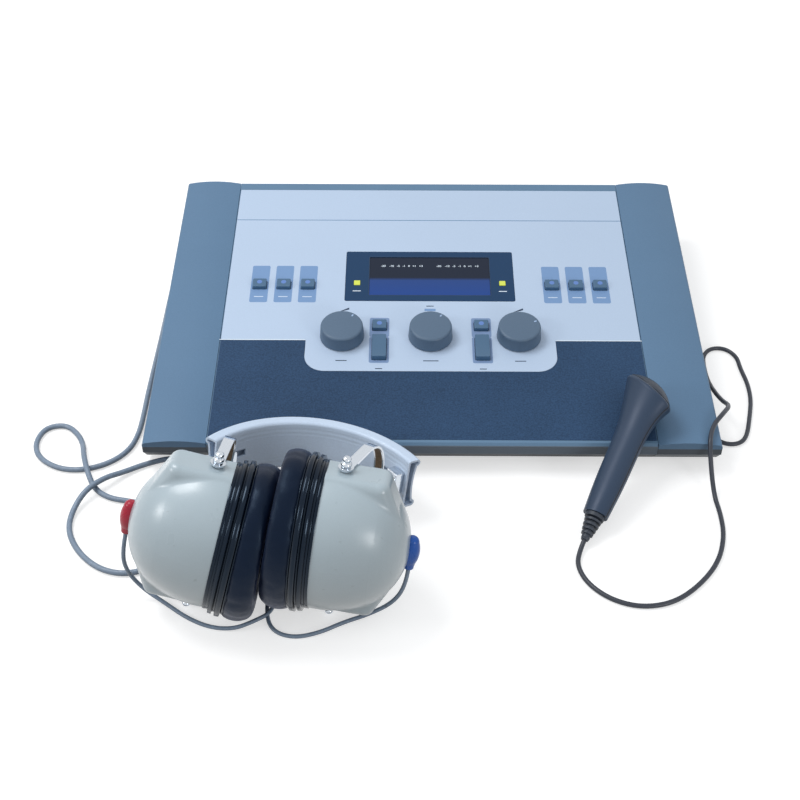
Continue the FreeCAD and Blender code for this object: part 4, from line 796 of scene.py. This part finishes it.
def make_headset_cable():
    """The headset's cable with its coil, the boot where it splits, and its two plugs."""
    turns = coil_turns((-158.0, 247.0), 26.2, cable_radius, 186.0, 3.5, 3.80, -1)
    tail = [at(-147.0, 271.4, 5.7), at(-140.5, 268.6, 5.7), at(-135.0, 268.0, plug_height),
            at(-129.0, 268.0, plug_height)]
    points = lying(headset_cable_route, cable_radius) + turns + tail
    cable = cord_curve("headset_cable_cord", points, cable_radius, "grey_cord")
    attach(cable, "console")
    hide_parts("headset_cable", "headset_coil")
    metal_parts, sleeves, bands = bmesh.new(), bmesh.new(), []
    for x, y, colour in ((-70.0, 268.0, "red"), (-70.6, 255.0, "blue")):
        contacts, sleeve, band = jack_plug_parts(x, y, -1)
        merge(metal_parts, contacts)
        merge(sleeves, sleeve)
        bands.append(piece("headset_plug_band_" + colour, band, colour))
    contacts = piece("headset_plug_contacts", metal_parts, "nickel")
    sleeves = piece("headset_plug_sleeves", sleeves, "black_part", replaced="headset_plugs")
    boot = spun(split_boot, 32)
    way = split_way.to_track_quat("X", "Z").to_matrix().to_4x4()
    bmesh.ops.transform(boot, verts=boot.verts, matrix=Matrix.Translation(split_at) @ way)
    boot = piece("headset_split_boot", boot, "grey_cord")
    curve = cord_curve("branch", second_tail, tail_radius, "grey_cord")
    branch = bmesh.new()
    branch.from_mesh(mesh_of(curve))
    bpy.data.objects.remove(curve)
    branch = piece("headset_second_tail", branch, "grey_cord")
    line = centre_line(cable)


def make_handset_cord():
    """The response switch's cord with its coil and its plug."""
    turns = coil_turns((166.0, 243.0), 23.6, cord_radius, -12.0, 4.5, 4.80, 1)
    tail = [at(158.5, 266.0, 4.9), at(152.5, 262.8, 5.3), at(148.0, 262.0, plug_height),
            at(143.0, 262.0, plug_height)]
    points = lying(handset_cord_route, cord_radius) + turns + tail
    cord = cord_curve("handset_cord_cord", points, cord_radius, "black_cord")
    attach(cord, "console")
    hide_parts("handset_cord", "handset_coil")
    contacts, sleeve, band = jack_plug_parts(84.0, 262.0, 1)
    contacts = piece("handset_plug_contacts", contacts, "nickel")
    sleeve = piece("handset_plug_sleeve", sleeve, "black_part", replaced="handset_plug")
    band = piece("handset_plug_band", band, "rear")
    line = centre_line(cord)


# ---------------------------------------------------------------- printed panel
# u runs across the panel from its middle and v up its slope, in millimetres
key_u = {"inner": 91.4, "middle": 109.45, "outer": 127.5}
signal_u, knob_u, knob_v = 37.0, 63.8, 102.0
key_plate, key_plate_v = (13.3, 40.0, 1.4), 157.2
key_hole, key_hole_v = (10.9, 9.5, 1.0), 155.7
key_mark, key_mark_v, key_mark_high = (7.0, 0.6, 0.2), 143.2, 0.06
signal_plate, signal_plate_v = (14.3, 19.6, 1.4), 111.2
signal_hole, signal_hole_v = (11.1, 9.7, 1.0), 112.3
tone_plate, tone_plate_v = (14.3, 25.9, 1.4), 88.4
tone_hole, tone_hole_v = (10.9, 23.1, 1.0), 89.6
header_line, header_v, header_high = (302.4, 0.7, 0.2), 231.0, 0.03
keyline, keyline_u, keyline_v = (62.0, 0.7, 0.2), 121.2, 98.2
lamp_mark, lamp_mark_u, lamp_mark_v = (6.0, 0.8, 0.2), 54.6, 149.6
caption_width, caption_corner = 0.8, 0.25
captions = ((-knob_u, 77.6, 8.0), (0, 77.6, 11.0), (knob_u, 77.6, 8.0), (-signal_u, 69.8, 5.0),
            (signal_u, 69.8, 5.0), (0, 133.6, 5.5))      # u, v and length
frequency_mark, frequency_mark_v = (8.2, 2.4, 0.3), 129.6
wedge, wedge_u = ((-4.1, 127.0), (4.2, 129.6), (4.2, 131.4), (3.9, 131.6)), (-63.8, 64.4)


def make_panel_print():
    """The plates round the keys, and the lines, dashes and wedges between them."""
    plates, marks = bmesh.new(), bmesh.new()
    for u in key_u.values():
        for hand in sides.values():
            merge(plates, patch(key_plate, hand * u, key_plate_v, hole=key_hole, hole_v=key_hole_v))
            merge(marks, patch(key_mark, hand * u, key_mark_v, 0.0, key_mark_high))
    piece("key_plates", plates, "plate_ink", smooth=False)

    plates = bmesh.new()
    for hand in sides.values():
        u = hand * signal_u
        merge(plates, patch(signal_plate, u, signal_plate_v, hole=signal_hole, hole_v=signal_hole_v))
        merge(plates, patch(tone_plate, u, tone_plate_v, hole=tone_hole, hole_v=tone_hole_v))
        merge(marks, patch(lamp_mark, hand * lamp_mark_u, lamp_mark_v, window_low, window_high))
    piece("tone_plates", plates, "tone_ink", smooth=False)
    line = patch(header_line, 0, header_v, high=header_high)
    piece("header_line", line, "line_ink", smooth=False)
    piece("plate_marks", marks, "white_ink", smooth=False)

    marks = bmesh.new()
    for u, v, length in captions:
        merge(marks, patch((length, caption_width, caption_corner), u, v))
    piece("panel_marks", marks, "dark_ink", smooth=False)
    mark = patch(frequency_mark, 0, frequency_mark_v)
    piece("frequency_mark", mark, "plate_ink", smooth=False)

    wedges = bmesh.new()
    for middle in wedge_u:
        bm = bmesh.new()
        bm.faces.new([bm.verts.new(panel @ at(middle + u, v, film_low)) for u, v in wedge])
        raise_faces(bm, film_low, film_high)
        merge(wedges, bm)
    piece("level_wedges", wedges, "dark_ink", smooth=False)

    rim = bmesh.new()
    for hand in sides.values():
        merge(rim, patch(keyline, hand * keyline_u, keyline_v))
    piece("dark_film_keyline", rim, "white_ink", smooth=False)


key_dot_v, signal_dot_v, dot_radius = 156.2, 112.8, 1.9
dot_low, dot_thick = 2.98, 0.06              # its underside is just in the key's top, at 3 mm


def make_key_dots():
    """A blue dot on the top of each push key."""
    spots = [(side + "_" + where + "_key", hand * u, key_dot_v)
             for side, hand in sides.items() for where, u in key_u.items()]
    spots += [(side + "_signal_key", hand * signal_u, signal_dot_v) for side, hand in sides.items()]
    for body, u, v in spots:
        bm = bmesh.new()
        bmesh.ops.create_circle(bm, cap_ends=True, segments=32, radius=dot_radius / 1000)
        bmesh.ops.transform(bm, verts=bm.verts,
                            matrix=panel @ Matrix.Translation(at(u, v, dot_low)))
        raise_faces(bm, 0.0, dot_thick)
        piece(body + "_dot", bm, "dot_ink", body, smooth=False)


pip_out, pip_up, pip_radius, pip_shape = 12.2, 11.62, 0.9, (1.3, 0.75, 0.45)


def make_knob_marks():
    """A short raised pip near the rim of each knob."""
    for body, u, angle in (("left_level_knob", -knob_u, 52.0), ("frequency_knob", 0.0, 52.0),
                           ("right_level_knob", knob_u, 20.0)):
        bm = bmesh.new()
        bmesh.ops.create_uvsphere(bm, u_segments=20, v_segments=12, radius=pip_radius / 1000)
        bmesh.ops.scale(bm, verts=bm.verts, vec=pip_shape)
        a = math.radians(angle)
        spot = at(u + pip_out * math.cos(a), knob_v + pip_out * math.sin(a), pip_up)
        bmesh.ops.transform(bm, verts=bm.verts,
                            matrix=panel @ Matrix.Translation(spot) @ Matrix.Rotation(a, 4, "Z"))
        piece(body + "_pip", bm, "caption_ink", body)


scale_numbers = {"-20": 0.0, "-10": 0.22, "-5": 0.40, "-1": 0.55, "0": 0.68, "+1": 0.82, "+3": 1.0}
scale_rows, scale_v, scale_deep = ((-35.1, -6.4), (7.2, 36.0)), 176.9, -0.22
number_height, number_weight = 0.0027, 0.00006
surround, surround_gap, surround_v = (91.6, 42.8, 0.7), (90.9, 42.1, 0.6), 166.3


def make_screen_scale():
    """Two rows of plain scale numbers on the screen, and the line round its window."""
    bm = bmesh.new()
    for start, end in scale_rows:
        for text, share in scale_numbers.items():
            data = bpy.data.curves.new("number", "FONT")
            data.body, data.size, data.align_x = text, number_height, "CENTER"
            data.offset = number_weight
            obj = bpy.data.objects.new("number", data)
            scene.collection.objects.link(obj)
            mesh = mesh_of(obj)
            u = start + (end - start) * share
            mesh.transform(panel @ Matrix.Translation(at(u, scale_v, scale_deep)))
            bm.from_mesh(mesh)
            bpy.data.objects.remove(obj)
            bpy.data.curves.remove(data)
            bpy.data.meshes.remove(mesh)
    piece("screen_scale", bm, "white_ink", smooth=False)
    line = patch(surround, 0, surround_v, window_low, window_high, surround_gap, surround_v)
    piece("screen_surround", line, "dark_ink", smooth=False)


# ---------------------------------------------------------------- soft pads
oval = 50.0 / 41.0                   # a cup's length along its studs over its width
clip_plate = [(-21.3, 26.0), (-21.3, 38.2), (-21.8, 39.2), (-22.8, 39.6), (-23.6, 39.0),
              (-23.6, 26.0), (-21.3, 26.0)]


def make_pad_plate(side, place):
    """The rim of the plate that clips a cushion into its flange."""
    bm = spun([(sides[side] * x, r) for x, r in clip_plate], 96)
    bmesh.ops.scale(bm, verts=bm.verts, vec=(1, 1, oval))
    bmesh.ops.transform(bm, verts=bm.verts, matrix=place)
    piece(side + "_pad_plate", bm, side + "_flange", side + "_cup")


pad_voxel, pad_drawn_in, pad_widened = 0.0017, 0.0005, 0.042
pad_edge = (30.0, 7.0)                       # the radius where its edge begins, and the edge's width
pad_lowest = 0.0006                          # how near the floor its skin may come
cloth_frames, cloth_reach = 12, 0.0006       # the steps of blowing up, and how far a point may go
fold_depth, crease_depth, crease_from = 0.00035, 0.0009, 0.15


def smooth_skin(bm, factor, times=1):
    for _ in range(times):
        bmesh.ops.smooth_vert(bm, verts=bm.verts, factor=factor, use_axis_x=True, use_axis_y=True,
                              use_axis_z=True)


def voxel_skin(name):
    """A cushion node's shape as one closed even skin."""
    bm = bmesh.new()
    bm.from_mesh(nodes[name].data)
    bmesh.ops.remove_doubles(bm, verts=bm.verts, dist=2e-5)
    mesh = bpy.data.meshes.new(name + "_skin")
    bm.to_mesh(mesh)
    bm.free()
    obj = bpy.data.objects.new(name + "_skin", mesh)
    scene.collection.objects.link(obj)
    remesh = obj.modifiers.new("remesh", "REMESH")
    remesh.mode, remesh.voxel_size = "VOXEL", pad_voxel
    skin = mesh_of(obj)
    obj.modifiers.clear()
    obj.data = skin
    bpy.data.meshes.remove(mesh)
    return obj


def draw_in(skin, place):
    """Smooth the skin, draw in its faces and widen its rounded edge."""
    bm = bmesh.new()
    bm.from_mesh(skin)
    smooth_skin(bm, 0.5, 3)
    bm.normal_update()
    inverse = place.inverted()
    for v in bm.verts:
        here = inverse @ v.co
        out = Vector((0, here.y, here.z / oval)).length * 1000
        edge = max(0.0, min(1.0, (out - pad_edge[0]) / pad_edge[1]))
        v.co -= v.normal * (pad_drawn_in * (1.0 - edge))
        v.co += place.to_3x3() @ Vector((0, here.y, here.z)) * (pad_widened * edge)
        v.co.z = max(v.co.z, pad_lowest)
    bm.to_mesh(skin)
    bm.free()


def blow_up(obj):
    """A short run of cloth under pressure, each point held to a small reach."""
    skin = obj.data
    rest = [v.co.copy() for v in skin.vertices]
    cloth = obj.modifiers.new("cloth", "CLOTH")
    cloth.settings.quality = 4
    cloth.settings.mass = 0.2
    cloth.settings.use_pressure = True
    cloth.settings.uniform_pressure_force = 4.0
    cloth.settings.effector_weights.gravity = 0.0
    cloth.settings.tension_stiffness = 12.0
    cloth.settings.compression_stiffness = 12.0
    cloth.collision_settings.use_collision = False
    cloth.point_cache.frame_start, cloth.point_cache.frame_end = 1, cloth_frames
    for number in range(1, cloth_frames + 1):
        scene.frame_set(number)
    blown = mesh_of(obj)
    obj.modifiers.clear()
    for v, new, was in zip(skin.vertices, blown.vertices, rest):
        step = new.co - was
        v.co = was + step * min(1.0, cloth_reach / max(step.length, 1e-9))
    bpy.data.meshes.remove(blown)
    scene.frame_set(1)


def crease(skin, place):
    """Shallow folds across the pad, and a few sharper creases."""
    bm = bmesh.new()
    bm.from_mesh(skin)
    bm.normal_update()
    inverse = place.inverted()
    for v in bm.verts:
        here = inverse @ v.co
        angle = math.atan2(here.z, here.y)
        fold = noise.noise(Vector((math.cos(angle) * 3.2, math.sin(angle) * 3.2, here.x * 40)))
        sharp = max(0.0, noise.noise(Vector((angle * 5.5, here.x * 55, 4.0))) - crease_from)
        v.co -= v.normal * (fold_depth * abs(fold) + crease_depth * sharp)
    smooth_skin(bm, 0.4)
    bm.to_mesh(skin)
    bm.free()


def make_cushion(side, place):
    """An ear cushion: the pad's own shape, drawn in, blown up as a filled skin, and creased."""
    obj = voxel_skin(side + "_ear_cushion")
    draw_in(obj.data, place)
    blow_up(obj)
    crease(obj.data, place)
    obj.data.materials.clear()
    obj.data.materials.append(finishes["cushion"])
    for face in obj.data.polygons:
        face.use_smooth = True
    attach(obj, side + "_cup")
    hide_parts(side + "_ear_cushion")
    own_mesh(obj)


set_camera()
set_light()
set_floor()
dress_nodes()
make_lead("left", left_lead_route)
make_lead("right", right_lead_route)
make_headset_cable()
make_handset_cord()
make_panel_print()
make_key_dots()
make_knob_marks()
make_screen_scale()
cup_places = {"left": left_cup_place, "right": right_cup_place}
for side, place in cup_places.items():
    make_cushion(side, place)
for side, place in cup_places.items():
    make_pad_plate(side, place)
